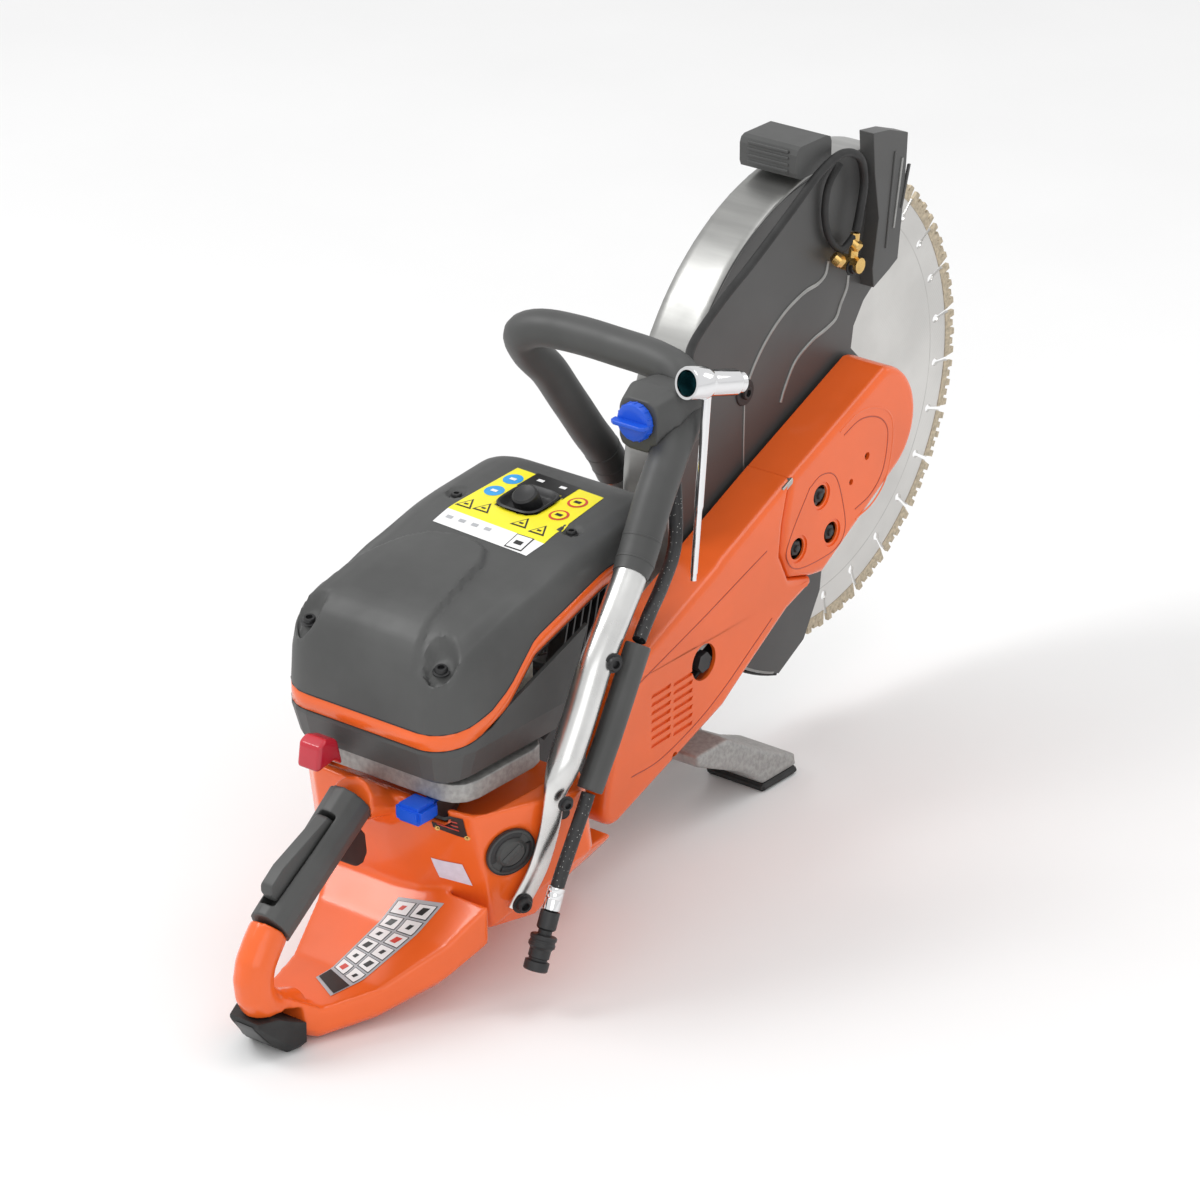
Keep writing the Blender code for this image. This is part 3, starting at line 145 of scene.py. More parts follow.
# key: name, colour, roughness, metallic, vary (scale, amount), rough (scale, low, high),
# bump (scale, strength, distance), the record's slot
FINISHES = {
    "orange": ("orange_gloss", (0.83, 0.125, 0.016), 0.22, 0.0, (9, 0.07), (40, 0.18, 0.3),
               (420, 0.05, 0.0002), "orange_shell"),
    "plastic": ("grey_grained", (0.06, 0.061, 0.06), 0.5, 0.0, (14, 0.14), (60, 0.4, 0.58),
                (1500, 0.22, 0.00025), "dark_plastic"),
    "black": ("black_satin", (0.014, 0.014, 0.015), 0.45, 0.0, (30, 0.3), (80, 0.34, 0.55),
              (1100, 0.15, 0.0002), "black_plastic"),
    "rubber": ("black_rubber", (0.016, 0.016, 0.016), 0.62, 0.0, (40, 0.35), (120, 0.5, 0.75),
               (900, 0.3, 0.0003), "rubber"),
    "guard": ("guard_coat", (0.072, 0.072, 0.071), 0.42, 0.15, (8, 0.12), (30, 0.36, 0.5),
              (900, 0.14, 0.0002), "guard_paint"),
    # also laid on the middle guard tab rib as a painted highlight
    "rim": ("guard_rim_satin", (0.33, 0.33, 0.32), 0.36, 0.75, (20, 0.1, (4, 0.3, 4)),
            (50, 0.28, 0.44), (700, 0.08, 0.0002), "guard_paint"),
    "blade": ("blade_core", (0.62, 0.61, 0.59), 0.3, 1.0, (16, 0.07), (26, 0.24, 0.4), None,
              "blade_steel"),
    "segment": ("sintered_segment", (0.5, 0.43, 0.32), 0.5, 0.65, (300, 0.22), (300, 0.4, 0.7),
                (700, 0.6, 0.0004), "blade_steel"),
    "steel": ("turned_steel", (0.5, 0.49, 0.47), 0.3, 1.0, (40, 0.1), (90, 0.22, 0.42),
              (600, 0.08, 0.0002), "machined_steel"),
    "aluminium": ("drawn_aluminium", (0.7, 0.7, 0.69), 0.27, 1.0, (30, 0.08),
                  (60, 0.2, 0.36, (1, 1, 0.2)), (500, 0.1, 0.0002), "bare_aluminium"),
    "cast": ("sand_cast", (0.36, 0.355, 0.345), 0.55, 0.55, (260, 0.14), (200, 0.45, 0.7),
             (520, 0.55, 0.0005), "cast_alloy"),
    "chrome": ("chrome_plate", (0.82, 0.82, 0.83), 0.08, 1.0, None, (60, 0.05, 0.14),
               (300, 0.03, 0.0002), "chrome"),
    "teal": ("socket_inside", (0.03, 0.14, 0.16), 0.25, 0.8, (90, 0.3), None, (300, 0.1), "chrome"),
    "brass": ("brass", (0.72, 0.47, 0.16), 0.24, 1.0, (80, 0.12), (120, 0.18, 0.36), (500, 0.1),
              "brass"),
    "blue": ("control_blue", (0.006, 0.085, 0.6), 0.32, 0.0, (20, 0.08), (60, 0.28, 0.42),
             (900, 0.1), "blue_plastic"),
    "red": ("control_red", (0.5, 0.012, 0.03), 0.22, 0.0, (20, 0.12), (60, 0.18, 0.3),
            (600, 0.08), "red_plastic"),
    "foam": ("filter_foam", (0.66, 0.63, 0.54), 0.9, 0.0, (200, 0.2), None, (500, 0.9, 0.001),
             None),
    # painted shade: a darker orange laid along the creases and outlines of the belt covers
    "crease_shade": ("orange_shadow_line", (0.4, 0.045, 0.008), 0.35, 0.0, (20, 0.1), None, (300, 0.1),
             "orange_shell"),
    "print_white": ("print_white", (0.8, 0.8, 0.8), 0.36, 0.0, (60, 0.03), None, (300, 0.04),
                    None),
    "print_grey": ("print_grey", (0.42, 0.43, 0.45), 0.36, 0.0, (60, 0.06), None, (300, 0.04),
                   None),
    "print_yellow": ("print_yellow", (0.88, 0.78, 0.02), 0.34, 0.0, (50, 0.04), None,
                     (300, 0.04), None),
    "print_black": ("print_black", (0.012, 0.012, 0.012), 0.34, 0.0, (60, 0.2), None,
                    (300, 0.04), None),
    "print_blue": ("print_blue", (0.02, 0.32, 0.72), 0.34, 0.0, (60, 0.06), None, (300, 0.04),
                   None),
    "print_red": ("print_red", (0.6, 0.05, 0.03), 0.34, 0.0, (60, 0.06), None, (300, 0.04), None),
    "lilac": ("sticker_lilac", (0.7, 0.66, 0.76), 0.4, 0.0, (200, 0.05), None, (300, 0.05), None),
    "floor": ("studio_floor", (0.86, 0.86, 0.86), 0.6, 0.0, (3, 0.01), None, None, None),
}
EXTRA = {
    "orange": {"Coat Weight": 0.22, "Coat Roughness": 0.08},
    "blade": {"Anisotropic": 0.5},
    "red": {"Coat Weight": 0.4},
}
SLOTS = {key: row[-1] for key, row in FINISHES.items() if row[-1]}


def make_materials():
    for key, (name, colour, roughness, metallic, vary, rough, bump, _) in FINISHES.items():
        made = Shader(name, colour, roughness, metallic, EXTRA.get(key, {}))
        for step, values in ((made.vary, vary), (made.rough, rough), (made.bump, bump)):
            if values:
                step(*values)
        MATERIALS[key] = made
    blade = MATERIALS["blade"]
    blade.bump(0, 0.1, 0.0002, blade.rings(160, 0.6)).bump(900, 0.06, 0.0001)


make_materials()


# --------------------------------------------------------------------- tools
def add(name, verts, faces, finish, body="saw_body", smooth=35, replaces=()):
    """A mesh from points laid out from the arbor, riding on a body."""
    mesh = bpy.data.meshes.new(name)
    mesh.from_pydata([tuple(Vector(v) + ORIGIN) for v in verts], [], faces)
    work = bmesh.new()
    work.from_mesh(mesh)
    bmesh.ops.recalc_face_normals(work, faces=work.faces)
    work.to_mesh(mesh)
    work.free()
    mesh.shade_smooth()
    mesh.set_sharp_from_angle(angle=math.radians(smooth))
    mesh.materials.append(material(finish))
    obj = bpy.data.objects.new(name, mesh)
    bpy.context.scene.collection.objects.link(obj)
    if body:
        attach(obj, body)
    if replaces:
        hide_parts(*replaces)
    return obj


def soften(obj, width=0.0008, segments=2, angle=32):
    bevel = obj.modifiers.new("edge", "BEVEL")
    bevel.width = width
    bevel.segments = segments
    bevel.limit_method = "ANGLE"
    bevel.angle_limit = math.radians(angle)
    obj.modifiers.new("even_light", "WEIGHTED_NORMAL")
    return obj


def baked(obj):
    """The object with its modifiers applied to its mesh."""
    bpy.context.view_layer.update()
    shape = bpy.data.meshes.new_from_object(
        obj.evaluated_get(bpy.context.evaluated_depsgraph_get()))
    obj.modifiers.clear()
    obj.data = shape
    return obj


def carve(obj, cutters):
    for cutter in cutters:
        modifier = obj.modifiers.new("cut", "BOOLEAN")
        modifier.object = cutter
        modifier.solver = "EXACT"
    baked(obj)
    for cutter in cutters:
        bpy.data.objects.remove(cutter)
    obj.data.shade_smooth()
    obj.data.set_sharp_from_angle(angle=math.radians(35))
    return obj


def skin(rows, count, closed=True):
    """Quads between rows of count points each."""
    return [(a + i, a + (i + 1) % count, a + count + (i + 1) % count, a + count + i)
            for a in range(0, (rows - 1) * count, count)
            for i in range(count if closed else count - 1)]


def across(quad, u, v):
    """The point at shares u and v of a four-cornered patch."""
    a, b, c, d = [Vector(corner) for corner in quad]
    return a.lerp(b, u).lerp(d.lerp(c, u), v)


def on_wheel(turn, radius):
    """A point in XZ round the arbor."""
    return (radius * math.cos(turn), ARBOR.z + radius * math.sin(turn))


def turned(name, profile, centre, finish, axis=(0, 1, 0), steps=40, body="saw_body",
           ring=False, replaces=()):
    axis = Vector(axis).normalized()
    side = axis.orthogonal().normalized()
    other = axis.cross(side)
    verts, rows = [], []
    for radius, height in profile:
        row = []
        for step in range(1 if radius == 0 else steps):
            turn = math.tau * step / steps
            spoke = side * math.cos(turn) + other * math.sin(turn)
            row.append(len(verts))
            verts.append(Vector(centre) + axis * height + spoke * radius)
        rows.append(row)
    faces = []
    for low, high in list(zip(rows, rows[1:])) + ([(rows[-1], rows[0])] if ring else []):
        for i in range(steps):
            j = (i + 1) % steps
            corners = [low[i % len(low)], low[j % len(low)], high[j % len(high)],
                       high[i % len(high)]]
            if len(low) > 1 or len(high) > 1:
                faces.append(tuple(dict.fromkeys(corners)))
    return add(name, verts, faces, finish, body, replaces=replaces)


def smooth_path(points, spacing):
    points = [Vector(p) for p in points]
    ends = [points[0] * 2 - points[1]] + points + [points[-1] * 2 - points[-2]]
    path = []
    for a, b, c, d in zip(ends, ends[1:], ends[2:], ends[3:]):
        count = max(1, round((c - b).length / spacing))
        for step in range(count):
            t = step / count
            path.append(0.5 * (2 * b + (c - a) * t + (2 * a - 5 * b + 4 * c - d) * t * t
                + (3 * b - a - 3 * c + d) * t ** 3))
    return path + [points[-1]]


def swept(name, path, sizes, finish, sides=20, body="saw_body", first=(0, 1, 0), replaces=()):
    """A tube along a path; sizes is a radius, (half width, half height) or a list of those."""
    if isinstance(sizes, float):
        sizes = (sizes, sizes)
    if isinstance(sizes, tuple):
        sizes = [sizes] * len(path)
    side = Vector(first)
    verts = []
    for i, (point, (wide, high)) in enumerate(zip(path, sizes)):
        along = (path[min(i + 1, len(path) - 1)] - path[max(i - 1, 0)]).normalized()
        side = (side - along * side.dot(along)).normalized()
        up = along.cross(side)
        for step in range(sides):
            turn = math.tau * step / sides
            verts.append(point + side * wide * math.cos(turn) + up * high * math.sin(turn))
    faces = skin(len(path), sides)
    faces += [tuple(range(sides)), tuple(range(len(verts) - sides, len(verts)))]
    return add(name, verts, faces, finish, body, 50, replaces)


def prism(name, outline, span, finish, holes=(), body="saw_body", replaces=()):
    """An outline in XZ pushed along Y."""
    loops = [list(outline)] + [list(hole) for hole in holes]
    flat = [p for loop in loops for p in loop]
    count = len(flat)
    verts = [(a, y, b) for y in span for a, b in flat]
    caps = tessellate_polygon([[Vector((a, b, 0.0)) for a, b in loop] for loop in loops])
    faces = [tuple(cap) for cap in caps] + [tuple(i + count for i in cap[::-1]) for cap in caps]
    start = 0
    for loop in loops:
        for i in range(len(loop)):
            a, b = start + i, start + (i + 1) % len(loop)
            faces.append((a, b, b + count, a + count))
        start += len(loop)
    return add(name, verts, faces, finish, body, replaces=replaces)


def arc(centre, radius, start, end, steps):
    turns = [math.radians(start + (end - start) * i / steps) for i in range(steps + 1)]
    return [(centre[0] + radius * math.cos(t), centre[1] + radius * math.sin(t)) for t in turns]


def circle(centre, radius, steps=32):
    return arc(centre, radius, 0, 360, steps)[:-1]


def shrunk(points, amount):
    """The outline moved inwards by amount."""
    area = sum(a[0] * b[1] - b[0] * a[1] for a, b in zip(points, points[1:] + points[:1]))
    sign = 1.0 if area > 0 else -1.0
    result = []
    for i, point in enumerate(points):
        before = (Vector(point) - Vector(points[i - 1])).normalized()
        after = (Vector(points[(i + 1) % len(points)]) - Vector(point)).normalized()
        normal = (Vector((-(before.y + after.y), before.x + after.x)) * sign).normalized()
        half = max(0.45, abs(normal.x * -before.y * sign + normal.y * before.x * sign))
        result.append(tuple(Vector(point) + normal * (amount / half)))
    return result


def stacked(name, outlines, finish, replaces=(), cap_low=True, cap_high=True, smooth=40):
    """Rings of 3-D points with one count, skinned and capped where asked."""
    count = len(outlines[0])
    verts = [p for ring in outlines for p in ring]
    faces = skin(len(outlines), count)
    if cap_high:
        faces.append(tuple(range(len(verts) - count, len(verts))))
    if cap_low:
        faces.append(tuple(range(count)))
    return add(name, verts, faces, finish, smooth=smooth, replaces=replaces)


def surface_of(obj):
    """A BVH of the shown shape of an object."""
    bpy.context.view_layer.update()
    shape = obj.evaluated_get(bpy.context.evaluated_depsgraph_get()).to_mesh()
    return BVHTree.FromPolygons([obj.matrix_world @ v.co for v in shape.vertices],
        [tuple(f.vertices) for f in shape.polygons])


CAST_FROM, CAST_REACH = 0.06, 0.14         # how far before and through a surface a ray runs


def decal(name, corners, tree, direction, finish, lift, grid=(10, 10), shape=None):
    """A thin printed patch laid on a surface. corners: four points; shape: outline in 0..1."""
    direction = Vector(direction).normalized()

    def drop(u, v):
        place = across(corners, u, v)
        hit = tree.ray_cast(place + ORIGIN - direction * CAST_FROM, direction, CAST_REACH)
        if hit[0] is None:
            return place
        return hit[0] - ORIGIN - direction * lift

    if shape is None:
        verts = [drop(i / grid[0], j / grid[1]) for j in range(grid[1] + 1)
                 for i in range(grid[0] + 1)]
        faces = skin(grid[1] + 1, grid[0] + 1, closed=False)
    else:
        n = len(shape)
        mid_u, mid_v = sum(p[0] for p in shape) / n, sum(p[1] for p in shape) / n
        verts = [drop(mid_u, mid_v)]
        for share in (0.5, 1.0):
            verts += [drop(mid_u + (u - mid_u) * share, mid_v + (v - mid_v) * share)
                      for u, v in shape]
        faces = [(0, 1 + i, 1 + (i + 1) % n) for i in range(n)]
        faces += [(1 + i, 1 + n + i, 1 + n + (i + 1) % n, 1 + (i + 1) % n) for i in range(n)]
    return add(name, verts, faces, finish, smooth=80)


def screw(name, place, out, radius, finish="black", body="saw_body"):
    """A cap screw with a round recess, sitting on a surface."""
    out = Vector(out).normalized()
    r = radius
    profile = [(0, -0.001), (r * 1.35, -0.001), (r * 1.35, 0.0002), (r, 0.0006), (r, r * 0.55),
               (r * 0.86, r * 0.75), (r * 0.55, r * 0.75), (r * 0.5, r * 0.25), (0, r * 0.25)]
    return turned(name, profile, place, finish, out, 24, body)


# -------------------------------------------------------------------- camera
def make_stage():
    scene = bpy.context.scene
    data = bpy.data.cameras.new("view")
    data.lens = 150
    data.sensor_width = 36
    data.clip_end = 50
    camera = bpy.data.objects.new("view", data)
    scene.collection.objects.link(camera)
    camera.location = (-2.7403, -2.11741, 1.78852)
    camera.rotation_euler = Vector((0.7147, 0.561, -0.4179)).to_track_quat("-Z", "Y").to_euler()
    scene.camera = camera

    world = bpy.data.worlds.new("studio")
    world.use_nodes = True
    world.node_tree.nodes["Background"].inputs["Color"].default_value = (1.0, 1.0, 1.0, 1.0)
    world.node_tree.nodes["Background"].inputs["Strength"].default_value = 0.86
    scene.world = world
    scene.view_settings.view_transform = "Standard"

    mesh = bpy.data.meshes.new("floor")
    reach = 14.0
    mesh.from_pydata([(-reach, -reach, 0), (reach, -reach, 0), (reach, reach, 0),
                      (-reach, reach, 0)], [], [(0, 1, 2, 3)])
    mesh.materials.append(material("floor"))
    floor = bpy.data.objects.new("floor", mesh)
    scene.collection.objects.link(floor)
    for name, place, size, power in (
            ("key", (-1.2, 1.6, 2.6), 1.2, 34.0), ("fill", (-2.2, -1.8, 1.5), 2.0, 12.0),
            ("top", (0.3, -0.4, 2.6), 1.2, 8.0), ("front", (2.0, -1.2, 1.6), 1.0, 4.0)):
        lamp = bpy.data.lights.new(name, "AREA")
        lamp.size = size
        lamp.energy = power
        light = bpy.data.objects.new(name, lamp)
        light.location = place
        aim = Vector((0, 0, 0.2)) - Vector(place)
        light.rotation_euler = aim.to_track_quat("-Z", "Y").to_euler()
        scene.collection.objects.link(light)


# --------------------------------------------------------------------- cords
HOSE_TAIL = [
    (-0.473, -0.148, 0.1545), (-0.48, -0.148, 0.142), (-0.488, -0.148, 0.129),
    (-0.496, -0.148, 0.116), (-0.504, -0.148, 0.103), (-0.511, -0.148, 0.09),
    (-0.517, -0.148, 0.077),
]


def make_tail_hose():
    curve = bpy.data.curves.new("tail_hose", "CURVE")
    curve.dimensions = "3D"
    curve.bevel_depth = 0.00525
    curve.bevel_resolution = 5
    curve.use_fill_caps = True
    path = smooth_path(HOSE_TAIL, 0.004)
    spline = curve.splines.new("POLY")
    spline.points.add(len(path) - 1)
    for point, place in zip(spline.points, path):
        point.co = (*(place + ORIGIN), 1.0)
    curve.materials.append(material("hose"))
    hose = bpy.data.objects.new("tail_hose", curve)
    bpy.context.scene.collection.objects.link(hose)
    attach(hose, "saw_body")
    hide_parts("hose_tail")
    down = (path[-1] - path[-2]).normalized()
    ferrule = turned("hose_ferrule", [
        (0.0054, -0.018), (0.0062, -0.0176), (0.0064, -0.015), (0.006, -0.014),
        (0.0064, -0.013), (0.0064, -0.01), (0.006, -0.009), (0.0064, -0.008),
        (0.0064, -0.001), (0.0054, -0.0004)], path[-1], "chrome", down, 24)
    coupling = turned("quick_coupling", [
        (0, 0.0004), (0.007, 0.0004), (0.0073, 0.001), (0.0073, 0.013), (0.0062, 0.0142),
        (0.0052, 0.0146), (0.0052, 0.018), (0.0092, 0.0184), (0.01, 0.0192), (0.01, 0.0212),
        (0.0094, 0.022), (0.0094, 0.0236), (0.01, 0.0244), (0.01, 0.0266), (0.009, 0.0276),
        (0.008, 0.029), (0.008, 0.035), (0.007, 0.0356), (0.007, 0.0372), (0.0092, 0.038),
        (0.0092, 0.044), (0.0084, 0.045), (0.005, 0.045), (0.0046, 0.035), (0, 0.035)],
        path[-1], "black", down, 28, replaces=("hose_coupling",))


# --------------------------------------------------------------------- blade
def make_blade():
    segments, teeth, r_core, r_weld = 28, 5, 0.1925, 0.188
    half_kerf = 0.0019 / 0.196             # half a gap between segments, as an angle
    pitch = math.tau / segments
    phase = math.radians(7.4)
    outline = []
    for k in range(segments):
        middle = phase + k * pitch
        for radius, side in (
                (r_core, -0.0014), (0.178, -0.0012), (0.1762, -0.003), (0.1736, -0.0034),
                (0.1712, -0.0022), (0.1702, 0.0), (0.1712, 0.0022), (0.1736, 0.0034),
                (0.1762, 0.003), (0.178, 0.0012), (r_core, 0.0014)):
            outline.append(on_wheel(middle + side / radius, radius))
        outline += [on_wheel(middle + pitch * share, r_core) for share in (0.25, 0.5, 0.75)]
    core = prism("blade_core", outline, (-0.00125, 0.00125), "blade", [circle((0, ARBOR.z), 0.0128,
        40)], "blade_assembly", ("blade",))
    soften(core, 0.0003, 1)
    for side in (-1, 1):
        turned(f"blade_ring_line_{side + 2}", [(0.1655, side * 0.00125), (0.166, side * 0.00135),
            (0.1665, side * 0.00125)], ARBOR, "steel", (0, 1, 0), 120, "blade_assembly", True)
    verts, faces = [], []
    for k in range(segments):
        start = phase + k * pitch + half_kerf
        stop = phase + (k + 1) * pitch - half_kerf
        ring = [(start, r_weld)]
        for t in range(teeth):
            low = start + (stop - start) * t / teeth
            high = start + (stop - start) * (t + 1) / teeth
            gap = (high - low) * 0.19
            crown = 0.198 if t % 2 else 0.2
            ring += [(low + gap, crown), (high - gap, crown)]
            if t < teeth - 1:
                ring += [(high - gap, 0.1943), (high + gap, 0.1943)]
        ring.append((stop, r_weld))
        base, n = len(verts), len(ring)
        inner = base + 2 * n
        for line in (ring, [(turn, r_weld - 0.0006) for turn, _ in ring]):
            for y in (-0.0016, 0.0016):
                verts += [(x, y, z) for x, z in (on_wheel(*place) for place in line)]
        for side in (0, 1):
            for i in range(n - 1):
                faces.append((base + side * n + i, base + side * n + i + 1,
                              inner + side * n + i + 1, inner + side * n + i))
        for i in range(n - 1):
            faces.append((base + i, base + i + 1, base + n + i + 1, base + n + i))
            faces.append((inner + i, inner + i + 1, inner + n + i + 1, inner + n + i))
        for i in (0, n - 1):
            faces.append((base + i, base + n + i, inner + n + i, inner + i))
    add("blade_segments", verts, faces, "segment", "blade_assembly", 30)


# --------------------------------------------------------------------- guard
GUARD_FACE_Y = -0.0217                     # the guard's outer face on the right


def make_guard():
    paint_node("guard_shell", "guard")
    soften(NODES["guard_shell"], 0.0009, 2, 40)
    verts = []
    rows = [(0.2128, -0.0219), (0.2142, -0.0217), (0.215, -0.0205), (0.2152, -0.015),
            (0.2152, 0.015), (0.215, 0.0205), (0.2142, 0.0217), (0.2128, 0.0219)]
    rim_from, rim_to, steps = 71.5, 250.0, 90
    for i in range(steps + 1):
        turn = math.radians(rim_from + (rim_to - rim_from) * i / steps)
        for radius, y in rows:
            x, z = on_wheel(turn, radius)
            verts.append((x, y, z))
    faces = skin(steps + 1, len(rows), closed=False)
    add("guard_rim_band", verts, faces, "rim", "guard", 60)
    beads = ([(-0.119, 0.312), (-0.1104, 0.332), (-0.092, 0.353), (-0.0682, 0.3695),
        (-0.042, 0.379), (-0.023, 0.381), (-0.013, 0.386), (-0.0093, 0.3958)],
        [(-0.07, 0.296), (-0.064, 0.308), (-0.0512, 0.3248), (-0.03, 0.335), (-0.0129, 0.3389),
        (0.002, 0.344), (0.0082, 0.3544), (0.016, 0.365), (0.0182, 0.3758)], )
    for index, bead in enumerate(beads):
        path = smooth_path([(x, GUARD_FACE_Y, z) for x, z in bead], 0.004)
        swept(f"guard_bead_{index + 1}", path, (0.001, 0.0017), "rim", 10, "guard")
    groove = smooth_path([(x, -0.0216, z) for x, z in (
        (-0.206, 0.29), (-0.198, 0.338), (-0.172, 0.39), (-0.13, 0.434),
        (-0.076, 0.462), (-0.02, 0.473))], 0.006)
    swept("guard_step_line", groove, (0.0006, 0.001), "guard", 8, "guard")
    line = smooth_path([(x, GUARD_FACE_Y, z) for x, z in (
        (-0.1179, 0.316), (-0.118, 0.26), (-0.115, 0.225))], 0.01)
    swept("guard_hinge_line", line, 0.0008, "rim", 8, "guard")
    turned("guard_washer", [
        (0.0045, -0.001), (0.0105, -0.001), (0.0112, 0.0), (0.0105, 0.0012), (0.0045, 0.0012)],
        (-0.1179, GUARD_FACE_Y, 0.3202), "black", RIGHT, 32, "guard")
    screw("guard_bolt", (-0.1179, -0.0218, 0.3202), RIGHT, 0.0055, body="guard")
    for index, x in enumerate((0.06, 0.07, 0.08)):
        foot, head, lean = 0.392 + index * 0.014, 0.47 - index * 0.008, 0.01
        strip = [(x - 0.001 - lean, foot), (x + 0.001 - lean, foot), (x + 0.0012, head),
                 (x - 0.0012, head)]
        # the middle rib takes the lighter rim finish as a painted highlight
        rib = prism(f"guard_tab_rib_{index + 1}", strip, (-0.0356, -0.033),
                    "rim" if index == 1 else "guard", body="guard")
        soften(rib, 0.0006)
    horn = prism("guard_front_horn", [
        (0.03, 0.493), (0.052, 0.49), (0.0775, 0.481), (0.0765, 0.46), (0.0725, 0.418),
        (0.0675, 0.378), (0.056, 0.372), (0.035, 0.363), (0.033, 0.38), (0.04, 0.42),
        (0.033, 0.46)], (-0.0345, -0.0205), "guard", body="guard")
    soften(horn, 0.0035, 4)
    paint_node("guard_handle", "plastic")
    soften(NODES["guard_handle"], 0.0012, 3)
    for index in range(4):
        z = 0.485 + index * 0.0052
        bar = prism(f"guard_grip_ridge_{index + 1}", [(-0.0669, z), (-0.064, z),
            (-0.064, z + 0.0024), (-0.0669, z + 0.0024)], (-0.0225, 0.0165), "plastic",
            body="guard")
        soften(bar, 0.0006)
    hose = smooth_path([
        (0.012, -0.031, 0.413), (-0.002, -0.029, 0.405), (-0.016, -0.027, 0.418),
        (-0.0215, -0.026, 0.44), (-0.018, -0.0265, 0.462), (-0.004, -0.027, 0.476)], 0.004)
    swept("guard_water_branch", hose, 0.003, "rubber", 12, "guard")
    screw("nozzle_bolt", (0.0075, -0.0335, 0.388), (-0.3, -1, 0.1), 0.0048, body="guard")
    for index, (x, z) in enumerate(((-0.0108, 0.3997), (0.0115, 0.406))):
        turned(f"nozzle_nut_{index + 1}", [
            (0, -0.004), (0.005, -0.004), (0.0058, -0.003), (0.0058, 0.003), (0.005, 0.004),
            (0, 0.004)], (x, -0.032, z), "brass", (0.3, -0.5, 0.8), 6, "guard")
    path = smooth_path(GUARD_HOSE, 0.004)
    pipe = swept("guard_feed_hose", path, 0.0034, "rubber", 14, "")
    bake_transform(pipe)
    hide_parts("guard_hose")


GUARD_HOSE = [
    (-0.265, -0.083, 0.388), (-0.245, -0.065, 0.39), (-0.218, -0.046, 0.396),
    (-0.17, -0.036, 0.413), (-0.124, -0.032, 0.431), (-0.076, -0.035, 0.462),
    (-0.045, -0.0375, 0.483), (-0.016, -0.0375, 0.49), (0.008, -0.037, 0.48),
    (0.022, -0.032, 0.455), (0.019, -0.0312, 0.433), (0.0138, -0.031, 0.416),
]


# -------------------------------------------------------------------- covers
COVER_JOINT = ((-0.118, 0.26), (-0.127, 0.225), (-0.13, 0.2), (-0.118, 0.175), (-0.088, 0.166))
FACE_Y, SKIRT_Y = -0.069, -0.0265
NUTS = ((-0.079, 0.232), (-0.064, 0.1955), (-0.1085, 0.197))


def cutter(outline, span, finish="orange"):
    return prism("cutter", outline, span, finish, body="")


def cylinder_cut(x, z, radius, depth):
    return cutter(circle((x, z), radius, 40), (FACE_Y - 0.01, FACE_Y + depth))


def cover(name, outline, replaces, cutters):
    rows = []
    for inset, y in ((0.0, SKIRT_Y), (0.0, FACE_Y + 0.007), (0.0003, FACE_Y + 0.0045),
                     (0.0012, FACE_Y + 0.0025), (0.0025, FACE_Y + 0.0011),
                     (0.0045, FACE_Y + 0.0003), (0.007, FACE_Y)):
        rows.append([(x, y, z) for x, z in (shrunk(outline, inset) if inset else outline)])
    shell = stacked(name, rows, "orange", replaces=replaces)
    hollow = cutter(shrunk(outline, 0.0025), (FACE_Y + 0.003, SKIRT_Y + 0.01))
    carve(shell, [hollow] + cutters)
    return soften(shell, 0.0005, 2, 40)


